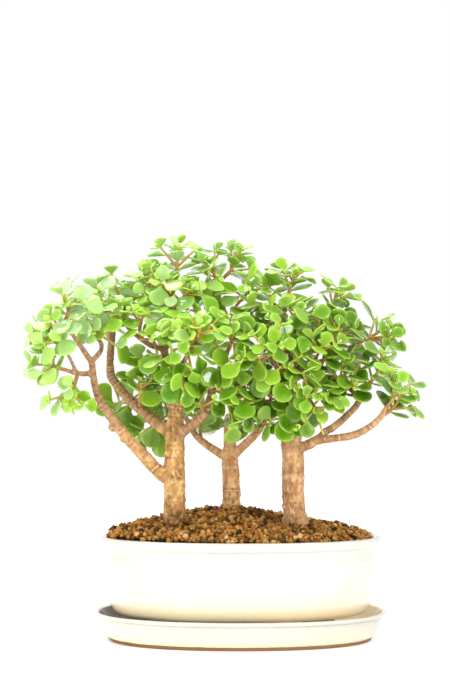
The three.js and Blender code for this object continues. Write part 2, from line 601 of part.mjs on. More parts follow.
// A leafy stem from its root towards a point, with its side shoots.
function leafyStems(root, outermost, bareShare, seed) {
  const reach = root.distanceTo(outermost);
  const length = Math.max(SHOOT.shortest, reach - SHOOT.leafReach);
  const tip = root.clone().lerp(outermost, length / reach);
  const bow = vec(chance(seed, 1) - 0.5, chance(seed, 2) - 0.5, -0.35).multiplyScalar(0.24 * length);
  const middle = root.clone().lerp(tip, 0.5).add(bow);
  const line = new THREE.QuadraticBezierCurve3(root, middle, tip).getPoints(SHOOT.steps);
  const bare = bareShare(length);
  const count = Math.max(2, Math.round(((1 - bare) * length) / SHOOT.internode));
  const main = { line, from: SHOOT.baseRadius, to: SHOOT.tipRadius, nodes: [] };
  const stems = [main];
  for (let j = count; j >= 0; j--) {
    const t = bare + ((1 - bare - 1 / length) * j) / count;
    const spot = { ...onLine(line, t), t };
    const angle = seed + (j * Math.PI) / 2 + 0.5 * chance(seed, 10 + j);
    main.nodes.push({ ...spot, angle, size: PAIR_SIZES[Math.min(2, count - j)], index: 20 + j * 40 });
    const share = (count - j) / count;
    if (j === count) continue;
    stems.push(sideStem(spot, angle, share, seed, 22 + j * 40));
    stems.push(sideStem(spot, angle + Math.PI, share, seed, 32 + j * 40));
  }
  return stems;
}

// A short side shoot in the angle of a leaf, with its pairs of leaves. The share is how far down
// its shoot it grows, and those lower down are longer.
function sideStem({ point, heading }, angle, share, seed, index) {
  const out = outOf(heading, angle + 0.2);
  const direction = out.addScaledVector(heading, 0.9).add(vec(0, 0, 0.2)).normalize();
  const length = (0.45 + 0.55 * share) * (SIDE_SHOOT.length + SIDE_SHOOT.extra * chance(seed, index + 3));
  const start = along(point, heading, SIDE_SHOOT.start);
  const line = [start, along(start, direction, length)];
  const nodes = SIDE_PAIRS.map(([t, size], k) => {
    const spot = { ...onLine(line, t), t, size };
    return { ...spot, angle: angle + 0.8 + (k * Math.PI) / 2, index: index + 4 + 2 * k };
  });
  return { line, from: SIDE_SHOOT.radius, to: SIDE_SHOOT.radius * 0.8, nodes };
}

// ---------------------------------------------------------------------------------------------
// Shoots: their solids
// ---------------------------------------------------------------------------------------------

// A point of a blade, by its shares of the length and of the half-width, and how far below the face.
function bladePoint(leaf, share, across, down = 0) {
  const point = along(leaf.base, leaf.direction, share * leaf.length);
  return point.addScaledVector(leaf.side, (across * leaf.width) / 2).addScaledVector(leaf.normal, -down);
}

const bladeRim = (leaf) => RIM.map(([share, across]) => bladePoint(leaf, share, across));
const bladeKeel = (leaf) => bladePoint(leaf, LEAF.keel, 0, LEAF.thickness);

// A blade on its own, from a share of its length on, for finding out what it would touch.
function bladeSolid(leaf, start) {
  const corners = [[0.25, 0], [-0.25, 0], [0, 0.8]];
  const foot = corners.map(([across, down]) => bladePoint(leaf, start, across, down));
  return wasm.Manifold.hull([...foot, ...bladeRim(leaf), bladeKeel(leaf)].map((p) => p.toArray()));
}

// The faces of a blade that grows out of four corners, given in turn as seen from its tip: flat on
// top, with a keel below.
function growBlade(leaf, corners, addFace) {
  const height = corners.map((corner) => corner.dot(leaf.normal));
  const upness = (k) => height[k] + height[(k + 1) % 4] - height[(k + 2) % 4] - height[(k + 3) % 4];
  const turn = [0, 1, 2, 3].reduce((a, b) => (upness(b) > upness(a) ? b : a));
  const [upA, upB, lowB, lowA] = [0, 1, 2, 3].map((i) => corners[(turn + i) % 4]);
  const rim = bladeRim(leaf);
  const keel = bladeKeel(leaf);
  addFace(upB, ...rim, upA);
  addFace(lowB, rim[0], upB);
  addFace(upA, rim.at(-1), lowA);
  [...rim, lowA, lowB].forEach((next, i, loop) => addFace(next, loop.at(i - 1), keel));
}

const lengthOf = (line) => line.slice(1).reduce((sum, point, i) => sum + point.distanceTo(line[i]), 0);
const radiusAt = (stem, t) => stem.from + (stem.to - stem.from) * t;

// A stem on its own, with round sides, for finding out what it would touch.
function stemSolid(stem) {
  const radii = stem.line.map((_, i) => radiusAt(stem, i / (stem.line.length - 1)));
  return solidOf(tube(stem.line, radii, 6));
}

// How a stem's outline turns at a node so that a side of it faces each of the leaves there.
function outlineTurn(heading, leaves) {
  const middle = leaves.reduce((sum, leaf) => sum.add(leaf.direction), vec(0, 0, 0));
  const isOpposite = leaves.length > 1 && middle.clone().projectOnPlane(heading).length() < 0.3;
  if (isOpposite) middle.crossVectors(heading, leaves[0].direction);
  const turn = Math.atan2(middle.dot(outOf(heading, Math.PI / 2)), middle.dot(outOf(heading, 0)));
  return leaves.length > 1 ? turn : turn + Math.PI / 3;
}

// Whether an edge of any triangle, from a flat list of corners, passes through another triangle.
function crossesItself(corners) {
  const faces = [];
  for (let i = 0; i < corners.length; i += 3) {
    const face = corners.slice(i, i + 3);
    faces.push({ face, box: new THREE.Box3().setFromPoints(face) });
  }
  const spot = vec(0, 0, 0);
  const passes = (from, to, face) => {
    const length = from.distanceTo(to);
    const ray = new THREE.Ray(from, to.clone().sub(from).divideScalar(length));
    if (!ray.intersectTriangle(...face, false, spot)) return false;
    const way = spot.distanceTo(from);
    return way > TINY && way < length - TINY;
  };
  return faces.some((one) => faces.some((other) => one !== other && one.box.intersectsBox(other.box)
    && one.face.some((corner, k) => passes(corner, one.face[(k + 1) % 3], other.face))));
}

// The triangles of a three-sided stem, with the leaves given growing out of its sides.
function leafyStem(stem, leaves) {
  const { line, nodes } = stem;
  const half = NODE_HALF / lengthOf(line);
  const spots = nodes.flatMap((node) => {
    const own = leaves.filter((leaf) => leaf.node === node);
    const turn = own.length && outlineTurn(node.heading, own);
    return own.length ? [{ t: node.t - half, turn, own }, { t: node.t + half, turn, own: [] }] : [];
  });
  line.forEach((_, i) => {
    const t = i / (line.length - 1);
    if (spots.every((spot) => Math.abs(spot.t - t) > 1.5 * half)) spots.push({ t, own: [] });
  });
  spots.sort((a, b) => a.t - b.t);
  spots.at(-1).t = 1;
  const triangles = [];
  const addFace = (first, ...rest) => {
    rest.slice(1).forEach((corner, i) => triangles.push(first, rest[i], corner));
  };
  const usualTurn = spots.find((spot) => spot.turn)?.turn ?? 0;
  let ring = null;
  spots.forEach(({ t, turn = usualTurn }, i) => {
    const { point, heading } = onLine(line, t);
    const outs = [0, 2, 4].map((k) => outOf(heading, turn + (k * Math.PI) / 3));
    const next = outs.map((out) => along(point, out, radiusAt(stem, t)));
    if (!ring) {
      ring = next;
      addFace(...ring.toReversed());
      return;
    }
    const shifted = [0, 1, 2].map((shift) => ring.map((_, k) => next[(k + shift) % 3]));
    const apart = (corners) => corners.reduce((sum, corner, k) => sum + corner.distanceTo(ring[k]), 0);
    const upper = shifted.reduce((a, b) => (apart(b) < apart(a) ? b : a));
    const sides = ring.map((corner, k) => [corner, ring[(k + 1) % 3], upper[(k + 1) % 3], upper[k]]);
    for (const leaf of spots[i - 1].own) {
      const outOfSide = ([a, b, , d]) => b.clone().sub(a).cross(d.clone().sub(a)).normalize();
      const facing = (side) => outOfSide(side).dot(leaf.direction);
      const best = sides.reduce((a, b) => (facing(b) > facing(a) ? b : a));
      sides.splice(sides.indexOf(best), 1);
      growBlade(leaf, best, addFace);
    }
    for (const [a, b, c, d] of sides) {
      if (a.distanceTo(c) < b.distanceTo(d)) addFace(a, b, c, d);
      else addFace(b, c, d, a);
    }
    ring = upper;
  });
  addFace(...ring);
  return triangles;
}

function leafyStemSolid(stem, leaves) {
  return solidOf(new THREE.BufferGeometry().setFromPoints(leafyStem(stem, leaves)));
}

const tooClose = (a, b) => a.minGap(b, CLEARANCE) < CLEARANCE * 0.9;

function boxesMeet(a, b) {
  const p = a.boundingBox();
  const q = b.boundingBox();
  return [0, 1, 2].every((k) => p.min[k] < q.max[k] + CLEARANCE && q.min[k] < p.max[k] + CLEARANCE);
}

// The solids of all shoots. Each keeps some of its leaves, spread as evenly over the crown as they
// can be, and only those that stay clear of the other shoots and of the wood.
function makeShoots(shoots, trees) {
  const offLimb = (solid, limb) => mainBody(solid.subtract(limbSolid(limb, CLEARANCE)));
  const pieces = shoots.map(({ limb, stems }) => offLimb(stemSolid(stems[0]), limb));
  const isClear = (solid, own) => [...trees, ...pieces].every((other) =>
    other === pieces[own] || !boxesMeet(solid, other) || !tooClose(solid, other));
  for (const shoot of shoots) {
    shoot.kept = [];
    shoot.stems[0].kept = true;
    shoot.queue = shoot.leaves.map((leaf) => ({ leaf, room: 200 }));
  }
  const rounds = Math.max(...shoots.map(({ leaves }) => leaves.length));
  for (let round = 0; round < rounds * LEAVES_KEPT; round++) {
    shoots.forEach(({ leaves, queue, stems, kept }, i) => {
      const cost = (leaf) => (stems[leaf.stem].kept ? 0 : NEW_STEM_COST);
      const worth = ({ leaf, room }) => room + OUTER_WORTH * outness(leaf) - cost(leaf);
      while (queue.length && round < leaves.length * LEAVES_KEPT) {
        const best = queue.reduce((a, b) => (worth(b) > worth(a) ? b : a));
        queue.splice(queue.indexOf(best), 1);
        const { leaf } = best;
        const way = [leaf.stem, stems[leaf.stem].parent];
        const needed = way.filter((k) => k !== undefined && !stems[k].kept);
        const added = [bladeSolid(leaf, 0.05), ...needed.map((k) => stemSolid(stems[k]))];
        const sameStem = kept.filter((other) => other.stem === leaf.stem);
        if (crossesItself(leafyStem(stems[leaf.stem], [...sameStem, leaf]))) continue;
        if (!added.every((solid) => isClear(solid, i))) continue;
        const grown = union([pieces[i], ...added]);
        if (grown.decompose().length > 1) continue;
        for (const k of needed) stems[k].kept = true;
        pieces[i] = grown;
        kept.push(leaf);
        for (const shoot of shoots) {
          for (const entry of shoot.queue) {
            entry.room = Math.min(entry.room, leafCentre(entry.leaf).distanceTo(leafCentre(leaf)));
          }
        }
        break;
      }
    });
  }
  return shoots.map(({ limb, stems, kept }) => {
    const leavesOf = (stem) => kept.filter((leaf) => stems[leaf.stem] === stem);
    const parts = stems.filter((stem) => stem.kept).map((stem) => leafyStemSolid(stem, leavesOf(stem)));
    return mainBody(offLimb(union(parts), limb).simplify(SIMPLIFY));
  });
}

// ---------------------------------------------------------------------------------------------
// The object
// ---------------------------------------------------------------------------------------------

function addPiece(group, name, solid, colour, roughness) {
  const material = new THREE.MeshStandardMaterial({ color: colour, roughness, metalness: 0 });
  const mesh = new THREE.Mesh(geometryOf(solid), material);
  mesh.name = name;
  group.add(mesh);
}

const bonsai = new THREE.Group();
const TREES = ["left", "middle", "right"];
const trees = TREES.map(makeTree);
const treeRooms = TREES.map((tree) => limbSolid(`${tree}_trunk`, CLEARANCE));

addPiece(bonsai, "drip_tray", makeTray(), COLOURS.glaze, 0.25);
addPiece(bonsai, "pot", makePot(), COLOURS.glaze, 0.25);
addPiece(bonsai, "drain_mesh", makeDrainMesh(), COLOURS.mesh, 0.6);
addPiece(bonsai, "soil", makeSoil(treeRooms), COLOURS.soil, 0.95);
TREES.forEach((tree, i) => addPiece(bonsai, `${tree}_tree`, trees[i], COLOURS.bark, 0.85));
makeShoots(growShoots(), trees).forEach((solid, i) => {
  addPiece(bonsai, `shoot_${String(i + 1).padStart(2, "0")}`, solid, COLOURS.leaf, 0.35);
});

export default bonsai;
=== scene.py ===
"""Jade bonsai: three dwarf jade trees in an oval glazed pot on its drip tray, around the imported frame.

Shapes are worked out in millimetres on the frame's own axes (+Z up, -Y the front) and made in metres.
The limbs, and the points that the shoots reach, are those of the solids that these pieces stand for.
The leaves grow by rules like those of the solids, but turn and grow more freely here.
"""

import math

import bmesh
import bpy
import numpy as np
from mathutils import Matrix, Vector, kdtree, noise


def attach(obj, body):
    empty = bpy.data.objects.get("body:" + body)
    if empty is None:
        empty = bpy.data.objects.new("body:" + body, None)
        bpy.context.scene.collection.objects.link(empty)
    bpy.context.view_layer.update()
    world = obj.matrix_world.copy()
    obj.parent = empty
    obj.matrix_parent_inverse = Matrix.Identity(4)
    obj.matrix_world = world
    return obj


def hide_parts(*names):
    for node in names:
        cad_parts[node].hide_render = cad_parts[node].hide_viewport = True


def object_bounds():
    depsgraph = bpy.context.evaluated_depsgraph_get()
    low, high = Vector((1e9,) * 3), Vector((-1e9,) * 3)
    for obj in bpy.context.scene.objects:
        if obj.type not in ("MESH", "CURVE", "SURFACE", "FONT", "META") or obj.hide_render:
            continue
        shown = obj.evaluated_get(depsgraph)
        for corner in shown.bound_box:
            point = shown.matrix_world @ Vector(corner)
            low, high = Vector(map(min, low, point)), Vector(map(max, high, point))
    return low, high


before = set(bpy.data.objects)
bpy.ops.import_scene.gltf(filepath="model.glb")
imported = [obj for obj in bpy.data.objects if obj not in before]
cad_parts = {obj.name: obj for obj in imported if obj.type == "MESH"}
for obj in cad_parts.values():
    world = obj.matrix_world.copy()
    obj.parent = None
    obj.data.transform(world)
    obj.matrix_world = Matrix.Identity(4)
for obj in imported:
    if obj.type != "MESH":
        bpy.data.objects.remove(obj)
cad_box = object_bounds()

MM = 0.001
PER_METRE = 1000.0

# ---- Driving dimensions, in millimetres ----

OVAL_POWER = 2.2  # superellipse exponent of the pot's and the tray's plan
OVAL_SIDES = 192
INNER_RADIUS = 45  # half-widths below this shrink evenly towards the middle of a floor
MIDDLE = 0.5  # half-width at which a closed floor ends
CLEARANCE = 0.3

TRAY_HALF_WIDTH, TRAY_HALF_LENGTH, TRAY_HEIGHT, TRAY_FLOOR = 86, 114, 22.2, 5.2
POT_HALF_WIDTH, POT_HALF_LENGTH, POT_RIM, POT_BOTTOM, POT_FLOOR = 80, 110, 80.5, 19, 24.5
FOOT_X, FOOT_Y, FOOT_HALF_LENGTH, FOOT_HALF_WIDTH, FOOT_SLANT = 60, 34, 13, 6, 0.35
DRAIN_RADIUS = 9

SOIL_HALF_LENGTH, SOIL_HALF_WIDTH, SOIL_RIM, SOIL_DOME, SOIL_TILT = 104, 74, 79, 9, 0.015
SOIL_RIDGE, RIDGE_X, RIDGE_Y, RIDGE_LENGTH, RIDGE_WIDTH = 11, -8, 26, 48, 34
GRAINS_HALF_LENGTH, GRAINS_HALF_WIDTH = 102.9, 72.9
GRAIN_PITCH, GRAIN_SIZE = 3.4, (1.35, 2.3)  # spacing, and half-sizes of the smallest and largest grain

LEAFY_END = 10  # what a limb's table is shortened by where a shoot goes on from its end
CROWN = np.array([-12, 5, 195.0])  # middle of the crown
CROWN_SPREAD = np.array([150, 90, 110.0])
LEAF_LENGTH, LEAF_WIDTH, LEAF_THICKNESS = 17.5, 14.6, 2
LEAF_MIDDLE = 0.55  # where the middle of a leaf's disc lies, as a share of its length
STEM_BASE, STEM_TIP, STEM_STEPS, INTERNODE = 1.6, 0.95, 3, 9.5  # radii, pieces of a curve, leaf spacing
BARE_SHARE, LEAF_REACH, SHORTEST_STEM = 0.3, 12, 11
SIDE_LENGTH, SIDE_EXTRA, SIDE_RADIUS, SIDE_START = 14, 12, 0.95, 2.8
VIEW = np.array([-12, -1500, 200.0])  # where the camera stands
OPEN_LIMBS = [  # stretches of limb, as shares of their length, that no leaf stands in front of
    ("left_trunk", 0, 0.85), ("left_low", 0, 1), ("left_low_stub", 0, 1), ("left_low_a", 0, 0.5),
    ("left_low_b", 0, 0.6), ("left_low_c", 0, 0.8), ("left_mid", 0, 1), ("left_mid_up", 0, 0.75),
    ("left_lead_a", 0, 0.7), ("left_right", 0, 0.62), ("middle_trunk", 0, 0.62), ("middle_left", 0, 0.45),
    ("middle_right", 0, 0.5), ("right_trunk", 0, 0.55), ("right_fork", 0, 1), ("right_upper", 0, 0.7),
    ("right_lower", 0, 0.85),
]

# ---- Limbs ----
# Each is a list of [x, y, z, radius] along its centre line, and starts inside the one that carries it.
# They and the shoots were chosen one by one and repeat the lists of the part's source.

LIMBS = {
    "left_trunk": [
        [-51, -18, 51, 9], [-51, -18, 90, 8.8], [-51, -18, 109, 8.3], [-51, -18, 141, 7.7],
        [-51, -17, 163, 7.3], [-50, -16, 177, 5.9], [-49, -16, 186, 5.1],
    ],
    "left_low": [
        [-52, -18, 125, 5.2], [-61, -19, 129, 5.2], [-76, -24, 145, 4.8], [-91, -28, 161.5, 4.4],
        [-99, -30, 173, 3.9], [-107, -31, 184, 3.5], [-112, -30, 197, 2.9], [-115, -28, 217, 2.5],
    ],
    "left_low_stub": [[-92, -28, 167, 2.9], [-98, -31, 166, 2.7], [-101, -32, 165, 2.4]],
    "left_low_a": [
        [-115, -28, 216, 2.3], [-123, -34, 228, 2.1], [-130, -39, 239, 1.8], [-138, -44, 256, 1.3],
    ],
    "left_low_b": [
        [-115, -28, 216, 2.3], [-108, -22, 225, 2], [-109, -18, 232, 1.8], [-121, -10, 240, 1.3],
    ],
    "left_low_c": [[-114, -28, 207, 2.3], [-125, -34, 207, 2], [-135, -39, 210, 1.7], [-143, -43, 214, 1.4]],
    "left_low_d": [[-126, -34, 208, 1.6], [-131, -38, 219, 1.4], [-139, -46, 235, 1.1]],
    "left_mid": [
        [-52, -17, 158, 4.7], [-58, -15, 163, 4.7], [-70, -8, 172, 4.3], [-82, -1, 182, 3.9],
        [-93, 6, 193, 3.8], [-101, 10, 203, 3.6], [-103, 12, 209, 3.5],
    ],
    "left_mid_up": [
        [-103, 12, 208, 3.3], [-103, 13, 220, 3], [-102, 14, 233, 2.9], [-101, 15, 249, 2.5],
    ],
    "left_mid_a": [[-101, 15, 247, 2.2], [-105, 12, 255, 1.7], [-110, 9, 268, 1.2]],
    "left_mid_b": [[-101, 15, 247, 2.1], [-99, 19, 257, 1.7], [-95, 24, 266, 1.3]],
    "left_mid_back": [[-102, 14, 232, 2.4], [-108, 34, 242, 1.9], [-115, 52, 251, 1.5]],
    "left_lead": [
        [-49, -15, 177, 3.6], [-53, -8, 194, 3.4], [-56, -3, 211, 3.2], [-60, 3, 227, 2.8],
    ],
    "left_lead_a": [[-59, 3, 226, 2.5], [-70, -4, 229, 2.2], [-80, -10, 236, 2], [-93, -18, 246, 1.3]],
    "left_lead_b": [
        [-59, 3, 226, 2.5], [-56, 3, 235, 2.2], [-55, 2, 251, 1.9], [-53, 1, 267, 1.6], [-49, 0, 292, 1.2],
    ],
    "left_lead_c": [[-55, 2, 252, 1.9], [-63, 8, 264, 1.6], [-71, 11, 274, 1.2]],
    "left_lead_front": [
        [-53, -7, 197, 2.8], [-47, -26, 211, 2.3], [-39, -44, 223, 1.8], [-34, -58, 232, 1.4],
    ],
    "left_lead_back": [[-57, -2, 213, 2.7], [-63, 26, 229, 2.1], [-70, 50, 245, 1.6], [-74, 64, 255, 1.3]],
    "left_right": [
        [-49, -18, 158, 4.2], [-43, -20, 163, 4], [-34, -25, 170, 3.7], [-27, -29, 177, 3.5],
        [-21, -34, 196, 3.1], [-17, -36, 208, 2.6], [-6, -40, 233, 1.7],
    ],

    "middle_trunk": [
        [-7, 28, 46, 7.4], [-7, 28, 96, 7], [-7, 28, 122, 6.9], [-8, 28, 136, 6.6],
        [-8, 28, 150, 5.1], [-8, 28, 166, 5], [-8, 28, 174, 4.4],
    ],
    "middle_left": [
        [-9, 28, 139, 3.7], [-22, 32, 147, 3.3], [-28, 36, 151, 3.1], [-36, 43, 158, 2.7],
        [-50, 56, 182, 1.8],
    ],
    "middle_right": [
        [-7, 28, 140, 3.8], [4, 22, 151, 3.4], [11, 18, 158, 3.3], [17, 13, 166, 3], [27, 0, 189, 2],
    ],
    "middle_lead": [
        [-8, 28, 162, 3.8], [-4, 33, 182, 3.4], [-1, 37, 200, 3.1], [-2, 41, 220, 2.7],
        [-6, 43, 239, 2.4], [-14, 42, 262, 2], [-19, 40, 276, 1.7], [-14, 40, 284, 1.5], [-6, 42, 291, 1.2],
    ],
    "middle_back": [[-1, 38, 205, 2.7], [-10, 58, 218, 2.3], [-20, 76, 230, 1.8]],
    "middle_back_right": [[-1, 39, 213, 2.7], [10, 58, 225, 2.3], [24, 76, 235, 1.8]],
    "middle_top": [[-10, 43, 249, 1.9], [-2, 34, 263, 1.6], [8, 26, 272, 1.3]],

    "right_trunk": [
        [44, -10, 50, 10.3], [43, -10, 90, 9.6], [42, -10, 99, 8.7], [41, -10, 116, 8.5],
        [41, -10, 142, 8.5], [39, -8, 157, 7.5], [37, -3, 194, 7.5], [40, -1, 208, 6.6], [44, 0, 216, 5.2],
    ],
    "right_stub": [[42, -2, 205, 5], [53, -9, 211, 4.5], [62, -14, 212, 3.6]],
    "right_fork": [[41, -9, 147, 4.2], [49, -12, 150, 3.9], [55, -15, 153, 3.7], [62, -18, 157, 3.6]],
    "right_upper": [
        [60, -17, 155, 3], [66, -19, 162, 2.9], [73, -18, 166, 2.9], [88, -10, 179, 2.7],
        [94, -6, 187, 2.5], [103, -1, 202, 1.6],
    ],
    "right_lower": [
        [60, -17, 155, 3.2], [69, -24, 156.5, 3.1], [86, -34, 159.5, 3], [98, -37, 165.5, 2.7],
        [107, -39, 173.5, 2.4], [116, -42, 190, 1.6],
    ],
    "right_front_low": [[43, -10, 150, 3.4], [47, -22, 168, 2.5], [50, -32, 182, 2], [54, -42, 193, 1.5]],
    "right_lead": [
        [42, -1, 213, 3.9], [40, 3, 224, 3], [36, 7, 238, 2.5], [34, 9, 251, 2.1], [39, 9, 276, 1.2],
    ],
    "right_lead_b": [[41, 1, 216, 3.3], [52, 10, 229, 2.5], [62, 17, 243, 2.1], [73, 22, 264, 1.3]],
    "right_far": [[47, 6, 223, 2.5], [65, 18, 226, 2.2], [82, 28, 227, 1.8], [103, 37, 234, 1.3]],
    "right_back": [[41, 2, 204, 3.3], [46, 26, 215, 2.7], [52, 48, 227, 2.3], [56, 62, 237, 1.8]],
    "right_front": [[38, -6, 191, 3.1], [31, -26, 205, 2.5], [25, -42, 217, 1.9], [21, -54, 225, 1.4]],
}

# ---- Shoots ----
# Each is (limb that carries it, place along that limb from 0 to 1, reach, reach of a fork). A reach is
# the point that the outermost leaves get to.

SHOOTS = [
    ("left_low_a", 1, (-132, -44, 253)),
    ("left_low_a", 0.7, (-156, -52, 243)),
    ("left_low_c", 1, (-145, -46, 214)),
    ("left_low_d", 1, (-144, -54, 233)),
    ("left_low_c", 0.5, (-131, -60, 178)),
    ("left_low_b", 1, (-118, -6, 250), (-108, -24, 240)),
    ("left_mid_a", 1, (-112, 6, 264)),
    ("left_mid_b", 1, (-86, 30, 284)),
    ("left_mid_back", 1, (-123, 72, 266)),
    ("left_lead_a", 1, (-98, -30, 260)),
    ("left_lead_a", 0.55, (-80, -36, 263)),
    ("left_lead_a", 0.2, (-71, -46, 243)),
    ("left_lead_b", 1, (-49, 0, 316)),
    ("left_lead_b", 0.75, (-68, -26, 286)),
    ("left_lead_b", 0.55, (-34, -34, 278)),
    ("left_lead_c", 1, (-77, 14, 289)),
    ("left_lead_front", 1, (-28, -82, 249)),
    ("left_lead_front", 0.6, (-52, -70, 245), (-34, -66, 222)),
    ("left_lead_front", 0.3, (-40, -64, 208)),
    ("left_right", 1, (-1, -54, 246)),
    ("left_right", 0.65, (-5, -66, 196), (10, -58, 180)),
    ("left_right", 0.5, (-35, -54, 190)),
    ("left_lead_back", 1, (-78, 84, 273)),
    ("left_mid", 0.45, (-76, -22, 211), (-62, 4, 226)),
    ("left_mid", 0.3, (-66, 20, 165)),
    ("left_mid", 0.62, (-88, 30, 176)),
    ("middle_lead", 1, (5, 46, 309)),
    ("middle_lead", 0.92, (-28, 32, 307), (-30, 12, 276)),
    ("middle_top", 1, (14, 18, 282), (12, -4, 262)),
    ("middle_back", 1, (-33, 98, 251)),
    ("middle_back_right", 1, (41, 98, 257)),
    ("middle_left", 1, (-56, 72, 200)),
    ("middle_left", 0.6, (-32, 52, 178)),
    ("middle_right", 1, (20, -20, 208), (4, -24, 188)),
    ("middle_right", 0.7, (14, -8, 168)),
    ("right_front", 1, (16, -76, 233), (2, -52, 208)),
    ("right_front", 0.5, (38, -62, 213)),
    ("right_trunk", 0.74, (35, -30, 241)),
    ("right_lead", 1, (46, 10, 297)),
    ("right_lead", 0.6, (17, -18, 264)),
    ("right_lead", 0.4, (46, -36, 259)),
    ("right_lead_b", 1, (83, 24, 279)),
    ("right_stub", 1, (85, -14, 253), (70, 4, 262)),
    ("right_stub", 0.6, (65, -50, 234)),
    ("right_far", 1, (130, 38, 252), (130, 26, 236)),
    ("right_far", 0.55, (96, 60, 248)),
    ("right_front_low", 1, (58, -60, 196), (60, -52, 176)),
    ("right_front_low", 0.5, (36, -50, 176)),
    ("right_upper", 1, (121, -4, 226)),
    ("right_upper", 0.75, (82, -34, 216), (64, -30, 214)),
    ("right_lower", 1, (126, -48, 200)),
    ("right_lower", 0.8, (130, -36, 194)),
    ("right_back", 1, (64, 92, 261)),
]
SHORTEST_STEP, LEAST_CUT = 2, 0.5  # of a limb that is made shorter


def shorten(points, length):
    """Takes a length off the end of a limb's table."""
    end, before = points.pop(), points[-1]
    step = math.dist(end[:3], before[:3])
    if step < length + SHORTEST_STEP:
        shorten(points, max(LEAST_CUT, length - step))
    else:
        points.append([e + (b - e) * length / step for e, b in zip(end, before)])


for limb_name, place, *_ in SHOOTS:
    if place == 1 and not limb_name.endswith("_stub"):
        shorten(LIMBS[limb_name], LEAFY_END)

# ---- Helpers: repeatable chance, vectors, lines and meshes ----

BITS = 0xFFFFFFFF


def chance(seed, index):
    """A number from 0 to 1 that depends only on the two whole numbers given."""
    h = ((seed + 1) * 0x9E3779B1 ^ (index + 1) * 0x85EBCA77) & BITS
    h = (h ^ (h >> 15)) * 0x2C1B3C6D & BITS
    h = (h ^ (h >> 12)) * 0x297A2D39 & BITS
    return (h ^ (h >> 15)) / (BITS + 1)


def vec(*numbers):
    return np.array(numbers, float)


def unit(v):
    return v / np.linalg.norm(v)


def clipped(value):
    """The value kept from 0 to 1."""
    return min(1, max(0, value))


def round_turn(sides):
    """The angles of the corners of a ring."""
    return np.arange(sides) * 2 * math.pi / sides


def on_line(line, t):
    """The point and the heading at a share t of a line of points."""
    place = t * (len(line) - 1)
    i = min(len(line) - 2, int(place))
    return line[i] + (line[i + 1] - line[i]) * (place - i), unit(line[i + 1] - line[i])


def smooth_line(points, step):
    """Points about a step apart on a smooth curve through rows of points; further columns go along."""
    points = np.asarray(points, float)
    padded = np.vstack([2 * points[0] - points[1], points, 2 * points[-1] - points[-2]])
    out = []
    for a, b, c, d in zip(padded, padded[1:], padded[2:], padded[3:]):
        count = max(1, math.ceil(np.linalg.norm((c - b)[:3]) / step))
        for t in np.arange(count) / count:
            out.append(b + 0.5 * t * (c - a + t * (2 * a - 5 * b + 4 * c - d + t * (3 * (b - c) + d - a))))
    return np.array([*out, points[-1]])


def curve(start, middle, end, t):
    """The point at a share t of a curve that leaves its start, and meets its end, on lines to a middle."""
    return (1 - t) ** 2 * start + 2 * t * (1 - t) * middle + t * t * end


DOME = 0.5  # height of a tube's end, as a share of its radius


def tube(line, radii, sides):
    """Vertices and faces of a closed tube along a line, with domed ends."""
    line, radii = np.asarray(line), np.asarray(radii)
    tangents = np.gradient(line, axis=0)
    tangents /= np.linalg.norm(tangents, axis=1)[:, None]
    across = vec(1, 0, 0) if abs(tangents[0][0]) < 0.8 else vec(0, 0, 1)
    turn = round_turn(sides)
    rings = []
    for centre, tangent, radius in zip(line, tangents, radii):
        across = unit(across - tangent * np.dot(across, tangent))
        other = np.cross(tangent, across)
        rings.append(centre + radius * (np.outer(np.cos(turn), across) + np.outer(np.sin(turn), other)))
    rows = len(rings)
    ends = [line[0] - tangents[0] * radii[0] * DOME, line[-1] + tangents[-1] * radii[-1] * DOME]
    faces = ring_faces(rows, sides)
    last = (rows - 1) * sides
    faces += [(rows * sides, (k + 1) % sides, k) for k in range(sides)]
    faces += [(rows * sides + 1, last + k, last + (k + 1) % sides) for k in range(sides)]
    return np.vstack([*rings, ends]), faces


def ring_faces(rows, sides):
    """Quads between rings of as many sides, facing out where the rings turn left about their line."""
    return [
        (i * sides + k, i * sides + (k + 1) % sides, (i + 1) * sides + (k + 1) % sides, (i + 1) * sides + k)
        for i in range(rows - 1)
        for k in range(sides)
    ]


def capped_faces(rows, sides):
    """The faces between rings, with a flat face over the first ring and one over the last."""
    first, last = tuple(range(sides)), tuple(range((rows - 1) * sides, rows * sides))
    return [*ring_faces(rows, sides), first[::-1], last]


class Build:
    """Gathers the vertices, faces and paint of one piece."""

    def __init__(self):
        self.vertices, self.faces, self.paint, self.count = [], [], [], 0

    def add(self, vertices, faces, paint=(0, 0, 0, 1)):
        self.vertices.append(vertices)
        self.faces += [tuple(corner + self.count for corner in face) for face in faces]
        self.paint.append(np.broadcast_to(paint, (len(vertices), 4)))
        self.count += len(vertices)

    def mesh(self, name):
        mesh = bpy.data.meshes.new(name)
        mesh.from_pydata((np.vstack(self.vertices) * MM).tolist(), [], self.faces)
        set_paint(mesh, np.vstack(self.paint))
        return mesh


def set_paint(mesh, paint):
    """Gives each vertex four numbers, which the materials read as "paint"."""
    layer = mesh.color_attributes.get("paint") or mesh.color_attributes.new("paint", "FLOAT_COLOR", "POINT")
    layer.data.foreach_set("color", np.asarray(paint, np.float32).ravel())


def add_object(name, data):
    """An object of the scene that holds a mesh, a light or a camera."""
    thing = bpy.data.objects.new(name, data)
    bpy.context.scene.collection.objects.link(thing)
    return thing


def add_piece(name, mesh, material, slot, *nodes):
    """A smooth piece on the root body that stands for the nodes."""
    mesh.shade_smooth()
    mesh.materials.append(material)
    piece = add_object(name, mesh)
    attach(piece, "root")
    if nodes:
        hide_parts(*nodes)


# ---- Materials ----


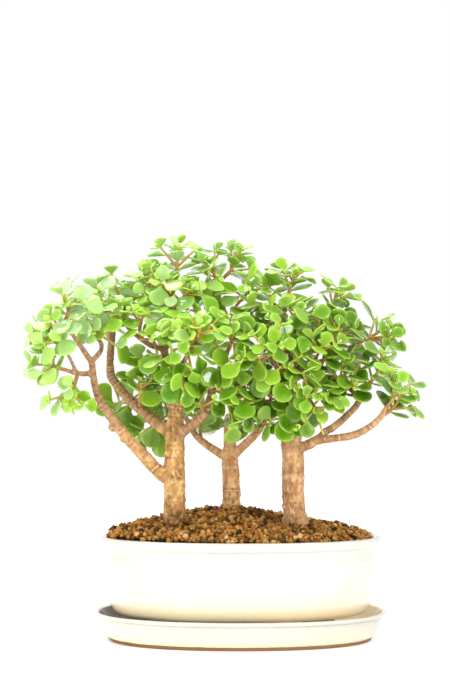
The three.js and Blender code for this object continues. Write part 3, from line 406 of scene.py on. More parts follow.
class Shader:
    """A material whose nodes are made and linked by short calls."""

    def __init__(self, name, **constants):
        self.material = bpy.data.materials.new(name)
        self.material.use_nodes = True
        self.tree = self.material.node_tree
        self.principled = self.tree.nodes["Principled BSDF"]
        for socket, value in constants.items():
            self.principled.inputs[socket.replace("_", " ")].default_value = value

    def node(self, kind, inputs=(), **settings):
        made = self.tree.nodes.new("ShaderNode" + kind)
        for setting, value in settings.items():
            setattr(made, setting, value)
        for socket, value in dict(inputs).items():
            self.put(made.inputs[socket], value)
        return made

    def put(self, socket, value):
        if isinstance(value, bpy.types.NodeSocket):
            self.tree.links.new(value, socket)
        else:
            socket.default_value = value

    def position(self, stretch=(1, 1, 1)):
        """The place on the object in millimetres, divided by a stretch."""
        where = self.node("TexCoord").outputs["Object"]
        factors = [PER_METRE / s for s in stretch]
        return self.node("VectorMath", {0: where, 1: factors}, operation="MULTIPLY").outputs[0]

    def noise(self, size, detail, roughness=0.6, stretch=(1, 1, 1)):
        """Noise whose largest spots are about a size in millimetres."""
        inputs = {"Vector": self.position(stretch), "Scale": 1 / size}
        return self.node("TexNoise", {**inputs, "Detail": detail, "Roughness": roughness}).outputs["Fac"]

    def cells(self, size):
        """The distance from the middle of cells of a size in millimetres."""
        inputs = {"Vector": self.position(), "Scale": 1 / size}
        return self.node("TexVoronoi", inputs).outputs["Distance"]

    def ramp(self, value, *stops):
        """A colour ramp over (place, colour) stops; a single number is a grey."""
        made = self.node("ValToRGB", {"Fac": value})
        elements = made.color_ramp.elements
        while len(elements) < len(stops):
            elements.new(0.5)
        for element, (place, colour) in zip(elements, stops):
            element.position = place
            element.color = (*colour, 1) if isinstance(colour, tuple) else (colour, colour, colour, 1)
        return made.outputs["Color"]

    def mix(self, share, a, b, blend="MIX"):
        """Colour a, with a share of colour b."""
        made = self.node("Mix", data_type="RGBA", blend_type=blend)
        for socket, value in zip((made.inputs[0], made.inputs[6], made.inputs[7]), (share, a, b)):
            self.put(socket, (*value, 1) if isinstance(value, tuple) else value)
        return made.outputs[2]

    def maths(self, operation, a, b):
        return self.node("Math", {0: a, 1: b}, operation=operation).outputs[0]

    def times(self, a, b):
        return self.maths("MULTIPLY", a, b)

    def paint(self):
        """The piece's paint as a colour, and its four numbers one by one."""
        layer = self.node("Attribute", attribute_name="paint")
        split = self.node("SeparateColor", {"Color": layer.outputs["Color"]})
        return layer.outputs["Color"], *split.outputs[:3], layer.outputs["Alpha"]

    def bump(self, height, depth):
        """Relief of a depth in millimetres."""
        inputs = {"Height": height, "Distance": depth * MM, "Strength": 1.0}
        self.put(self.principled.inputs["Normal"], self.node("Bump", inputs).outputs[0])

    def finish(self, colour, roughness=None):
        self.put(self.principled.inputs["Base Color"], colour)
        if roughness is not None:
            self.put(self.principled.inputs["Roughness"], roughness)
        return self.material


# The warm ivory is lighter: painted light for the shaded low parts of the ware.
IVORY, IVORY_LIGHT, IVORY_PAINTED_LIGHT = (0.50, 0.497, 0.45), (0.53, 0.53, 0.495), (1.0, 0.84, 0.54)
# The stain colours are painted shadow, dark brown, on the tray's inside.
PAINTED_SHADE, PAINTED_SHADE_PALE = (0.050, 0.030, 0.012), (0.13, 0.082, 0.036)
# The thin glaze colour is brown: thin glaze at the rim's top edge, and painted shadow lines under the lips.
THIN_GLAZE_AND_SHADE_LINE, SPECK, PINHOLE = (0.34, 0.26, 0.17), (0.17, 0.12, 0.08), (0.25, 0.19, 0.13)
CLAY, CLAY_LIGHT = (0.17, 0.085, 0.045), (0.30, 0.16, 0.085)
GLAZED_ROUGHNESS, CLAY_ROUGHNESS = (0.13,) * 3, (0.8,) * 3
BARE_ABOVE, RAGGED = 0.62, 0.25  # the paint from which clay is bare, and how ragged its edge is
SPECKS = [(-5, 49, 0.5), (50, 18.2, 0.4), (50.1, 16.6, 0.4), (98, 34, 0.5)]  # x, z and reach


def glaze_material(name, shine, ior):
    """Ivory glaze over brown clay. Paint: thin glaze and painted shadow lines at the edges, bare clay,
    painted light, and painted shade.
    """
    s = Shader(name, Coat_Weight=shine, Coat_Roughness=0.06, IOR=ior)
    _, edge, clay, painted_light, painted_shade = s.paint()
    glaze = s.mix(s.ramp(s.noise(38, 3), (0.35, 0.0), (0.7, 1.0)), IVORY, IVORY_LIGHT)
    # Painted light: lighter, warmer glaze low on the ware and under the pot's rim.
    glaze = s.mix(painted_light, glaze, IVORY_PAINTED_LIGHT)
    # Painted shadow: dark brown where the paint asks for shade.
    glaze = s.mix(painted_shade, glaze, s.mix(s.noise(4, 5), PAINTED_SHADE, PAINTED_SHADE_PALE))
    # Brown at the edges: thin glaze on the rim's top, and painted shadow lines under the lips.
    thin_glaze_and_shade = s.times(edge, s.ramp(s.noise(3.5, 3), (0.3, 0.45), (0.65, 1.0)))
    glaze = s.mix(thin_glaze_and_shade, glaze, THIN_GLAZE_AND_SHADE_LINE)
    for x, z, reach in SPECKS:  # as seen from the front
        flat = s.node("VectorMath", {0: s.position(), 1: (1, 0, 1)}, operation="MULTIPLY").outputs[0]
        away = s.node("VectorMath", {0: flat, 1: (x, 0, z)}, operation="DISTANCE").outputs["Value"]
        glaze = s.mix(s.times(s.maths("LESS_THAN", away, reach), 0.6), glaze, SPECK)
    pinholes = s.ramp(s.cells(5.5), (0.035, 1.0), (0.06, 0.0))
    rare = s.ramp(s.noise(9, 1), (0.66, 0.0), (0.7, 0.8))
    glaze = s.mix(s.times(pinholes, rare), glaze, PINHOLE)
    brown = s.mix(s.noise(0.8, 6), CLAY, CLAY_LIGHT)
    ragged = s.maths("ADD", clay, s.times(s.noise(6, 3), RAGGED))
    bare = s.maths("GREATER_THAN", ragged, BARE_ABOVE)
    s.bump(s.noise(14, 2), 0.12)
    return s.finish(s.mix(bare, glaze, brown), s.mix(bare, GLAZED_ROUGHNESS, CLAY_ROUGHNESS))


PLASTIC, PLASTIC_WORN = (0.02, 0.021, 0.02), (0.05, 0.052, 0.05)


def mesh_material():
    """Black moulded plastic."""
    s = Shader("black plastic", Roughness=0.55)
    return s.finish(s.mix(s.noise(2, 3), PLASTIC, PLASTIC_WORN))


DUSTY, CLEAN = 1.75, 0.55  # how light dusty and clean spots of a grain are, against its colour


def soil_material(name, shade=1.0):
    """Baked clay in the colour that it is painted, pitted and dusty; a shade under 1 darkens it all as
    painted shade.
    """
    s = Shader(name, Roughness=0.9, Specular_IOR_Level=0.05)
    colour, *_ = s.paint()
    dust = s.ramp(s.noise(0.9, 6, 0.7), (0.3, CLEAN * shade), (0.72, DUSTY * shade))
    s.bump(s.maths("ADD", s.noise(0.7, 6, 0.75), s.noise(2.2, 3)), 0.8)
    return s.finish(s.mix(1.0, colour, dust, "MULTIPLY"))


BARKS = {  # crevices, darker and lighter patches, and fresh flakes of each tree
    "left": [(0.10, 0.040, 0.012), (0.265, 0.123, 0.036), (0.585, 0.325, 0.116), (0.80, 0.540, 0.24)],
    # The middle tree's tones are lighter: painted light against the crown's shade on it.
    "middle": [(0.20, 0.088, 0.032), (0.52, 0.245, 0.100), (0.84, 0.480, 0.225), (0.94, 0.650, 0.36)],
    "right": [(0.18, 0.082, 0.034), (0.285, 0.140, 0.058), (0.510, 0.280, 0.124), (0.74, 0.490, 0.26)],
}
# The young bark colours are also painted shade on the high thin limbs under the crown.
FRESH_WOOD, YOUNG_AND_SHADED_BARK, YOUNG_AND_SHADED_BARK_LIGHT = (0.66, 0.24, 0.065), (0.20, 0.098, 0.050), (0.50, 0.300, 0.170)


def bark_material(name, *tones):
    """Tan bark. Paint: ring scars, young wood with painted shade under the crown, crevices, and how freshly
    it has flaked.
    """
    s = Shader(name, Roughness=0.82, Specular_IOR_Level=0.2)
    deep, dark, light, flaked = tones
    _, scar, young, crevice, fresh = s.paint()
    patches = s.ramp(s.noise(8, 5, 0.62, (1, 1, 2.2)), (0.36, 0.0), (0.58, 1.0))
    wood = s.mix(patches, dark, light)
    flakes = s.ramp(s.noise(4.5, 6, 0.68, (1, 1, 1.8)), (0.5, 0.0), (0.6, 1.0))
    wood = s.mix(s.times(flakes, 0.65), wood, flaked)
    wood = s.mix(fresh, wood, FRESH_WOOD)
    mottled = s.mix(s.ramp(s.noise(3, 5, 0.7), (0.35, 0.0), (0.65, 1.0)), YOUNG_AND_SHADED_BARK, YOUNG_AND_SHADED_BARK_LIGHT)
    wood = s.mix(young, wood, mottled)
    wood = s.mix(s.times(scar, 0.5), wood, flaked)
    rough = s.ramp(s.noise(2.2, 7, 0.75, (1.6, 1.6, 1)), (0.58, 0.0), (0.75, 0.4))
    wood = s.mix(s.maths("MAXIMUM", rough, crevice), wood, deep)
    s.bump(s.maths("SUBTRACT", s.noise(1.3, 8, 0.75, (1, 1, 1.8)), s.times(rough, 0.5)), 0.6)
    return s.finish(wood)


OLD_STEMS = (0.50, 0.175, 0.020), (0.33, 0.145, 0.030)  # two tones that the stems lie between
NEW_STEMS = (0.56, 0.42, 0.030), (0.40, 0.44, 0.035)
STEM_SPOTS = (0.24, 0.12, 0.04)


def stem_material():
    """Young stems. Paint: how green they are, and a tone for each stem."""
    s = Shader("green stem", Roughness=0.42)
    _, green, tone, _, _ = s.paint()
    colour = s.mix(s.ramp(green, (0.3, 0.0), (0.95, 1.0)), s.mix(tone, *OLD_STEMS), s.mix(tone, *NEW_STEMS))
    s.bump(s.noise(1.2, 4), 0.15)
    return s.finish(s.mix(s.times(s.noise(2.5, 4), 0.3), colour, STEM_SPOTS))


LEAF_TONES = [  # from dark green with painted shade, through full green, to pale with painted light
    (0.0, (0.015, 0.068, 0.001)), (0.3, (0.058, 0.176, 0.001)), (0.58, (0.156, 0.335, 0.010)),
    (0.8, (0.315, 0.495, 0.185)), (1.0, (0.450, 0.595, 0.415)),
]
LEAF_MOTTLE, LEAF_DOTS, LEAF_RIM = (0.17, 0.40, 0.008), (0.42, 0.60, 0.16), (0.47, 0.65, 0.09)
YOUNG_LEAF, LEAF_UNDERSIDE = (0.42, 0.63, 0.060), (0.28, 0.46, 0.07)


def leaf_material():
    """Thick waxy leaf. Paint: nearness to the rim, a tone for each leaf with painted light and shade, youth,
    and its upper side.
    """
    s = Shader(
        "jade leaf", Subsurface_Weight=0.25, Subsurface_Radius=(0.45, 1.0, 0.1), Subsurface_Scale=0.0018,
        Specular_IOR_Level=0.03, Coat_Weight=1.0, Coat_Roughness=0.08, Coat_IOR=1.33,
    )
    _, rim, tone, youth, upper = s.paint()
    mature = s.ramp(tone, *LEAF_TONES)
    mottle = s.ramp(s.noise(3.2, 4), (0.3, 0.0), (0.7, 1.0))
    mature = s.mix(s.times(mottle, 0.3), mature, LEAF_MOTTLE)
    colour = s.mix(youth, mature, YOUNG_LEAF)
    colour = s.mix(s.times(s.maths("SUBTRACT", 1.0, upper), 0.35), colour, LEAF_UNDERSIDE)
    colour = s.mix(s.times(rim, 0.42), colour, LEAF_RIM)
    dots = s.ramp(s.cells(0.55), (0.1, 1.0), (0.25, 0.0))
    colour = s.mix(s.times(dots, 0.15), colour, LEAF_DOTS)
    s.bump(s.maths("ADD", s.noise(2.4, 3), s.times(s.noise(0.6, 2), 0.2)), 0.22)
    return s.finish(colour, s.ramp(s.noise(4, 3), (0.3, 0.24), (0.7, 0.38)))


FLOOR, FLOOR_LIGHT = (0.93, 0.93, 0.925), (0.95, 0.95, 0.945)


def floor_material():
    s = Shader("pale floor", Roughness=0.6, Emission_Color=(1, 1, 1, 1), Emission_Strength=0.1)
    return s.finish(s.mix(s.noise(300, 2), FLOOR, FLOOR_LIGHT))


# ---- Oval ware: a profile of (half-width, height) swept round a superellipse ----

MOST_CUT = 0.48  # how much of a side a rounded corner may take


def rounded(corners, steps=6):
    """The profile through (half-width, height, radius) corners, each rounded by its radius."""
    points = []
    for before, corner, after in zip(corners, corners[1:], corners[2:]):
        here, radius = vec(*corner[:2]), corner[2]
        back, on = vec(*before[:2]) - here, vec(*after[:2]) - here
        cut = min(radius, MOST_CUT * np.linalg.norm(back), MOST_CUT * np.linalg.norm(on))
        start, end = here + unit(back) * cut, here + unit(on) * cut
        points += [curve(start, here, end, t) for t in np.linspace(0, 1, steps)]
    return [vec(*corners[0][:2]), *points, vec(*corners[-1][:2])]


def oval_rings(profile, lengthening, hole=0.0):
    """Rings of vertices for each (half-width, height) of a profile. A hole stays as wide as it is long."""
    turn = round_turn(OVAL_SIDES)
    bend = lambda c: np.sign(c) * np.abs(c) ** (2 / OVAL_POWER)
    rings = []
    for half, height in profile:
        share = np.clip((half - hole) / (INNER_RADIUS - hole), 0, 1)
        x, y = (half + lengthening * share) * bend(np.cos(turn)), half * bend(np.sin(turn))
        rings.append(np.column_stack([x, y, np.full(OVAL_SIDES, height)]))
    return rings


def oval_share(x, y, half_length, half_width):
    """Less than 1 inside an oval, 1 on it and more outside."""
    return (np.abs(x) / half_length) ** OVAL_POWER + (np.abs(y) / half_width) ** OVAL_POWER


CLAY_BLEND = 3  # height over which bare clay goes over into glaze
FADE_FROM, FADE_OVER = -60, 100  # where, along x, an edge begins to fade, and over which length
PAINTED_LIGHT_CURVE, PAINTED_LIGHT_MIDDLE, PAINTED_LIGHT_LEAST, PAINTED_LIGHT_TILT = 1.5, 0.8, 0.5, 400  # painted light: lighter, warmer glaze low on the ware, more to the left
BAND_Z, BAND_SPREAD, BAND_PAINTED_LIGHT, BAND_FROM, BAND_OVER = 68, 5, 0.7, -5, 60  # painted light in a band under the pot's rim, on its left


def ware_paint(points, edges, clay_below, painted_light_low, painted_light_high):
    """Paint for glazed ware: thin glaze and painted shadow lines at the edges, bare clay by height, and
    painted light low down and under the pot's rim.

    An edge is its half-width, half-length, height, spread, strength, and how much it fades.
    """
    x, y, z = points.T
    edge = np.zeros(len(points))
    for half_width, half_length, height, spread, strength, fade in edges:
        off = (oval_share(x, y, half_length, half_width) ** (1 / OVAL_POWER) - 1) * half_width
        near = np.exp(-(off ** 2 + (z - height) ** 2) / spread ** 2)
        edge = np.maximum(edge, strength * near * np.clip(1 - fade * (x - FADE_FROM) / FADE_OVER, 0, 1))
    clay = np.clip((clay_below + CLAY_BLEND / 2 - z) / CLAY_BLEND, 0, 1)
    # Painted light, full at the lower height and gone at the upper one.
    painted_light = np.clip((painted_light_high - z) / (painted_light_high - painted_light_low), 0, 1) ** PAINTED_LIGHT_CURVE
    painted_light = painted_light * np.clip(PAINTED_LIGHT_MIDDLE - x / PAINTED_LIGHT_TILT, PAINTED_LIGHT_LEAST, 1)
    # Painted light in a band under the pot's rim, on its left.
    band = BAND_PAINTED_LIGHT * np.exp(-((z - BAND_Z) / BAND_SPREAD) ** 2)
    band = band * np.clip((BAND_FROM - x) / BAND_OVER, 0, 1)
    return np.column_stack([edge, clay, np.maximum(painted_light, band), np.zeros(len(points))])


TRAY_PAINTED_LIGHT, TRAY_LIGHT_OVER = 0.9, 40  # painted light on its inside, to the right
TRAY_PAINTED_SHADE, SHADE_FROM, SHADE_OVER, SHADE_TOP = 0.88, -50, 25, 1.2  # painted shadow on its inside, to the left


def make_tray(material):
    w, h, lengthening = TRAY_HALF_WIDTH, TRAY_HEIGHT, TRAY_HALF_LENGTH - TRAY_HALF_WIDTH
    profile = rounded([
        (MIDDLE, 0, 0), (w - 12, 0, 0.6), (w - 11, 2.6, 0.8), (w - 8.2, 4.6, 2.5), (w - 3.6, 13, 5),
        (w - 1.6, h - 3.6, 0.6), (w - 0.5, h - 2.7, 0.4), (w, h - 0.9, 1.2), (w - 0.8, h, 0.9),
        (w - 3.2, h - 0.3, 0.8), (w - 3.8, h - 1.6, 0.4), (w - 7, 14, 5),
        (w - 13, 6.8, 5), (w - 20, TRAY_FLOOR, 5), (MIDDLE, TRAY_FLOOR, 0),
    ])
    rings = oval_rings(profile, lengthening)
    points = np.vstack(rings)
    # A painted shadow line under the tray's lip.
    edges = [(w - 1.4, w - 1.4 + lengthening, h - 3.4, 0.7, 0.75, 0)]
    # Painted light low on the tray's outside.
    paint = ware_paint(points, edges, clay_below=2.8, painted_light_low=3, painted_light_high=20)
    x, _, z = points.T
    inner = np.arange(len(z)) > np.argmax(z) + OVAL_SIDES  # the rings past the top of the rim
    # Painted light on the tray's inside, more towards its right end.
    paint[:, 2] = np.where(inner, TRAY_PAINTED_LIGHT * np.clip(x / TRAY_LIGHT_OVER, 0, 1), paint[:, 2])
    # Painted shadow of the pot, dark brown, on the tray's inside at its left end.
    shaded = inner & (z < h - SHADE_TOP)
    paint[:, 3] = shaded * TRAY_PAINTED_SHADE * np.clip((SHADE_FROM - x) / SHADE_OVER, 0, 1)
    build = Build()
    build.add(points, capped_faces(len(rings), OVAL_SIDES), paint)
    add_piece("drip_tray_ware", build.mesh("drip_tray_ware"), material, "glaze", "drip_tray")


POT_INSIDE = [(74.5, 80.3), (73, 72), (72.6, 50), (69, 36), (62, 27.5), (50, POT_FLOOR)]
# The feet take half the painted light and half the painted shadow of the glaze.
POT_INSIDE_ROUNDING, FOOT_PAINT = 6, (0, 0, 0.5, 0.5)


def make_pot(material):
    w, lengthening = POT_HALF_WIDTH, POT_HALF_LENGTH - POT_HALF_WIDTH
    profile = rounded([
        (DRAIN_RADIUS, POT_BOTTOM, 0), (w - 26, POT_BOTTOM, 6), (w - 17, 19.6, 4), (w - 11.5, 22, 4),
        (w - 7.5, 28, 6), (w - 5, 36, 8), (w - 2.8, 47, 8), (w - 1.8, 59, 8), (w - 2.8, 72.6, 1.2),
        (w - 0.4, 74, 1.4), (w, 77, 1.6), (w - 0.6, POT_RIM, 1.3), (*POT_INSIDE[0], 1.8),
        *((half, z, POT_INSIDE_ROUNDING) for half, z in POT_INSIDE[1:]), (DRAIN_RADIUS, POT_FLOOR, 0),
    ])
    rings = oval_rings(profile, lengthening, DRAIN_RADIUS)
    points = np.vstack([*rings, rings[0]])
    # Brown at the rim's top edge where the glaze breaks thin, and a painted shadow line under the rim's lip
    # that fades to the right.
    edges = [
        (w - 1.2, w - 1.2 + lengthening, POT_RIM, 0.8, 0.8, 0),
        (w - 2.6, w - 2.6 + lengthening, 73, 1.0, 0.5, 0.9),
    ]
    # Painted light on the pot's lower flank.
    paint = ware_paint(points, edges, clay_below=-9, painted_light_low=24, painted_light_high=50)
    build = Build()
    build.add(points, ring_faces(len(rings) + 1, OVAL_SIDES), paint)
    for sx in (-1, 1):
        for sy in (-1, 1):
            build.add(*pot_foot(sx, sy), FOOT_PAINT)
    mesh = build.mesh("pot_ware")
    weld(mesh)
    add_piece("pot_ware", mesh, material, "glaze", "pot")


def pot_foot(sx, sy, sides=32):
    """One oval foot under the pot, rounded at its lower edge."""
    top, bottom = POT_BOTTOM + 1, TRAY_FLOOR + CLEARANCE
    turn = round_turn(sides)
    slant = -FOOT_SLANT * sx * sy
    rings = []
    for size, z in ((0.6, bottom), (0.8, bottom), (0.86, bottom + 0.5), (1, top)):
        x, y = size * FOOT_HALF_LENGTH * np.cos(turn), size * FOOT_HALF_WIDTH * np.sin(turn)
        rings.append(np.column_stack([
            sx * FOOT_X + x * math.cos(slant) - y * math.sin(slant),
            sy * FOOT_Y + x * math.sin(slant) + y * math.cos(slant),
            np.full(sides, z),
        ]))
    return np.vstack(rings), capped_faces(len(rings), sides)


def weld(mesh):
    """Merges vertices that lie on each other."""
    edit = bmesh.new()
    edit.from_mesh(mesh)
    bmesh.ops.remove_doubles(edit, verts=edit.verts, dist=1e-6)
    edit.to_mesh(mesh)
    edit.free()


# ---- Soil: a bed in the pot, and the grains on it ----


def soil_height(x, y):
    """The height of the mound, which has a ridge behind its middle and falls a little to the right."""
    dome = SOIL_DOME * np.maximum(0, 1 - oval_share(x, y, SOIL_HALF_LENGTH, SOIL_HALF_WIDTH) ** 3)
    ridge = SOIL_RIDGE * np.exp(-(((x - RIDGE_X) / RIDGE_LENGTH) ** 2) - ((y - RIDGE_Y) / RIDGE_WIDTH) ** 2)
    return SOIL_RIM + dome + ridge - SOIL_TILT * x


BED_WALL_TOP, BED_DEPTH, BED_RINGS = 77, 2.2, 30  # the bed's surface lies this depth under the mound's
# Very dark brown: painted shade in the gaps between the grains.
BED_SHADE_COLOUR = (0.06, 0.028, 0.012, 1)


def make_soil_bed(material):
    """The solid body of the soil, which the grains lie on, dark as painted shade between them."""
    lengthening = POT_HALF_LENGTH - POT_HALF_WIDTH
    gap = CLEARANCE * 1.2
    walls = [(half - gap, z + CLEARANCE) for half, z in reversed(POT_INSIDE)]
    rim = walls.pop()[0]
    rings = oval_rings([(MIDDLE, POT_FLOOR + gap), *walls, (rim, BED_WALL_TOP)], lengthening)
    for half in np.linspace(rim, MIDDLE, BED_RINGS):
        ring = oval_rings([(half, 0)], lengthening)[0]
        ring[:, 2] = soil_height(ring[:, 0], ring[:, 1]) - BED_DEPTH
        rings.append(ring)
    build = Build()
    build.add(np.vstack(rings), capped_faces(len(rings), OVAL_SIDES), BED_SHADE_COLOUR)
    add_piece("soil_bed", build.mesh("soil_bed"), material, "soil", "soil")


GRAIN_COLOURS = np.array([
    (0.30, 0.145, 0.034), (0.40, 0.205, 0.056), (0.52, 0.310, 0.110), (0.185, 0.080, 0.020),
    (0.40, 0.165, 0.030), (0.095, 0.042, 0.012), (0.040, 0.022, 0.011), (0.25, 0.090, 0.040),
])
GRAIN_SHARES = np.array([0.25, 0.24, 0.09, 0.14, 0.10, 0.10, 0.04, 0.04])
DAMP_SPOTS = [(46, -22, 15), (-51, -27, 15), (14, 12, 13), (-12, -34, 7), (30, 0, 12)]  # x, y and reach
DAMP_SHADE, DAMP_VARIES, GRAIN_TONES = 0.95, (0.5, 1), (0.8, 1.2)
GRAIN_KINDS, GRAIN_STRETCH = 14, (0.7, 1.15)
LUMPS, FACETS = (1.1, 0.42), (2.6, 0.5)  # how fine they are on a grain, and how high
ROW_STEP, GRAIN_STRAY, GRAIN_RISE = 0.87, 0.38, 0.8
BANK_FROM, BANK_OVER = 0.85, 0.15  # grains bank up to 1 mm at the pot's wall, over this share of the oval
GRID_MARGIN, TRUNK_OVERLAP = 2, 0.5


def grain_shapes():
    """The vertices of each kind of rough lump, about 1 in radius, and the faces of any."""
    edit = bmesh.new()
    bmesh.ops.create_icosphere(edit, subdivisions=2, radius=1)
    ball = np.array([v.co[:] for v in edit.verts])
    faces = [tuple(v.index for v in f.verts) for f in edit.faces]
    edit.free()
    shapes = []
    for i in range(GRAIN_KINDS):
        lumps = np.array([noise.noise(Vector(p) * LUMPS[0] + Vector((7 * i, 3, 1))) for p in ball])
        facets = np.array([noise.noise(Vector(p) * FACETS[0] + Vector((2, 5 * i, 9))) for p in ball])
        shapes.append(ball * (1 + LUMPS[1] * lumps + FACETS[1] * facets)[:, None])
    return shapes, faces


def grain_spots(random, pitch, lift):
    """Places on the mound about a pitch apart, clear of the trunks."""
    across = int((SOIL_HALF_LENGTH + GRID_MARGIN) / pitch)
    deep = int((SOIL_HALF_WIDTH + GRID_MARGIN) / (pitch * ROW_STEP))
    column, row = np.meshgrid(np.arange(-across, across + 1), np.arange(-deep, deep + 1))
    x = (column + 0.5 * (row % 2)).ravel() * pitch
    y = row.ravel() * pitch * ROW_STEP
    x = x + random.uniform(-GRAIN_STRAY, GRAIN_STRAY, len(x)) * pitch
    y = y + random.uniform(-GRAIN_STRAY, GRAIN_STRAY, len(y)) * pitch
    edge = oval_share(x, y, GRAINS_HALF_LENGTH, GRAINS_HALF_WIDTH)
    inside = edge < 1
    for tree in TREES:
        foot = LIMBS[tree + "_trunk"][1]
        inside &= np.hypot(x - foot[0], y - foot[1]) > foot[3] - TRUNK_OVERLAP
    x, y, edge = x[inside], y[inside], edge[inside]
    z = soil_height(x, y) + lift + random.uniform(-GRAIN_RISE, GRAIN_RISE, len(x))
    return np.column_stack([x, y, z + np.clip((edge - BANK_FROM) / BANK_OVER, 0, 1)])


def dampness(x, y):
    return max(math.exp(-((x - cx) ** 2 + (y - cy) ** 2) / reach ** 2) for cx, cy, reach in DAMP_SPOTS)


def make_grains(name, material, seed, pitch, lift, share):
    """A layer of grains at a lift over the mound, of which a share is kept."""
    random = np.random.default_rng(seed)
    shapes, faces = grain_shapes()
    spots = grain_spots(random, pitch, lift)
    spots = spots[random.random(len(spots)) < share]
    build = Build()
    for spot in spots:
        size = random.uniform(*GRAIN_SIZE) * random.uniform(*GRAIN_STRETCH, 3)
        axes, _ = np.linalg.qr(random.normal(size=(3, 3)))
        if np.linalg.det(axes) < 0:
            axes[0] = -axes[0]
        shape = shapes[random.integers(len(shapes))]
        colour = GRAIN_COLOURS[random.choice(len(GRAIN_COLOURS), p=GRAIN_SHARES)]
        colour = colour * random.uniform(*GRAIN_TONES)
        colour = colour * (1 - DAMP_SHADE * dampness(*spot[:2]) * random.uniform(*DAMP_VARIES))
        build.add((shape * size) @ axes.T + spot, faces, (*colour, 1))
    add_piece(name, build.mesh(name), material, "soil")


# ---- Wood: tubes along the limbs, melted into one skin, with bark ----

VOXEL = 0.8
KNOBS = {  # x, y, z and radius of the healed stubs of cut twigs
    "left": [(-56, -25, 145.5, 3.2), (-54.5, -19.5, 184, 3.6), (-46, -24, 128, 2.2), (-45.5, -20, 103, 2.4)],
    "middle": [(-1, 25.5, 111, 2.3), (-12.5, 24, 101, 2)],
    "right": [(41, -17.5, 134, 2.4), (47.5, -14.5, 120, 2.2), (34, -13, 104, 2.2), (54, -17, 151, 3.4)],
}
KNOB_SIDES, KNOB_HEIGHT, KNOB_END = 12, 0.6, 0.8  # half-height and radius of the ends, as shares of a radius
AXIS_STEP, LIMB_SIDES = 1.5, 20


def make_tree(tree, material):
    """The wood of one tree in one piece."""
    build = Build()
    axis = []  # x, y, z, radius, way along the limb, limb number
    for number, name in enumerate(n for n in LIMBS if n.startswith(tree)):
        line = smooth_line(LIMBS[name], AXIS_STEP)
        build.add(*tube(line[:, :3], line[:, 3], LIMB_SIDES))
        way = np.concatenate([[0], np.cumsum(np.linalg.norm(np.diff(line[:, :3], axis=0), axis=1))])
        axis += [(*row, s, number) for row, s in zip(line, way)]
    for x, y, z, radius in KNOBS[tree]:
        line = [(x, y, z + k * KNOB_HEIGHT * radius) for k in (-1, 0, 1)]
        build.add(*tube(line, [KNOB_END * radius, radius, KNOB_END * radius], KNOB_SIDES))
    rough = add_object(tree + "_rough", build.mesh(tree + "_rough"))
    melt = rough.modifiers.new("melt", "REMESH")
    melt.mode, melt.voxel_size = "VOXEL", VOXEL * MM
    skin = bpy.data.meshes.new_from_object(rough.evaluated_get(bpy.context.evaluated_depsgraph_get()))
    bpy.data.objects.remove(rough)
    skin.name = tree + "_wood"
    add_bark(skin, np.array(axis), tree)
    add_piece(tree + "_wood", skin, material, "bark", tree + "_tree")


def smooth_points(points, edges, rounds):
    """Moves each point part of the way to the middle of its neighbours, a few times."""
    a, b = edges.T
    counts = np.bincount(edges.ravel(), minlength=len(points))[:, None]
    for _ in range(rounds):
        total = np.zeros_like(points)
        np.add.at(total, a, points[b])
        np.add.at(total, b, points[a])
        points = points + SMOOTHING * (total / counts - points)
    return points


# How far each trunk spreads at the soil, how lumpy it is, how dark its foot, and how brown its thin limbs:
# young bark, and painted shade under the crown.
TREES = {"left": (0.2, 0.8, 1.0, 0.9), "middle": (0.6, 0.4, 0.25, 0.7), "right": (2.2, 0.4, 0.2, 0.35)}
FRESH_SPOTS = [(-44, -30, 100, 6), (-43, -29, 94, 6)]  # x, y, z and reach of flaked bark
SMOOTHING, SMOOTH_ROUNDS, NEAREST_ROWS = 0.6, 5, 4
RING_GAP, RING_WIDENING = 7, 0.5  # between ring scars: without radius, and more for each millimetre of it
SCAR_WIDTH, GROOVE_OFF, GROOVE_WIDTH = 0.6, 1.4, 0.75
THICK_LIMB, BURIED = 7, 70  # radius of fully rough bark; height under which a trunk stands in the soil
FLARE_HEIGHT, FOOT_HEIGHT = 12, 26  # over the soil: how far a trunk spreads, and how far it is dark
YOUNG_RADIUS, YOUNG_BLEND, YOUNG_Z, YOUNG_Z_BLEND = 6.6, 3, 115, 60  # thin and high limbs are brown: young bark, and painted shade under the crown


def ring_scars(where, radius, way, number):
    """The strength of the nearest ring scar and of the groove beside it, at a way along a limb."""
    gap = RING_GAP + RING_WIDENING * radius
    ring = way / gap + 1.2 * noise.noise(Vector((way * 0.05, number * 3.1, 0)))
    ring += 0.05 * noise.noise(where * 0.25)
    off = abs(ring - round(ring)) * gap
    strong = 0.4 + 0.6 * chance(number, int(round(ring)))
    groove = strong * math.exp(-((off - GROOVE_OFF) / GROOVE_WIDTH) ** 2)
    return strong * math.exp(-(off / SCAR_WIDTH) ** 2), groove


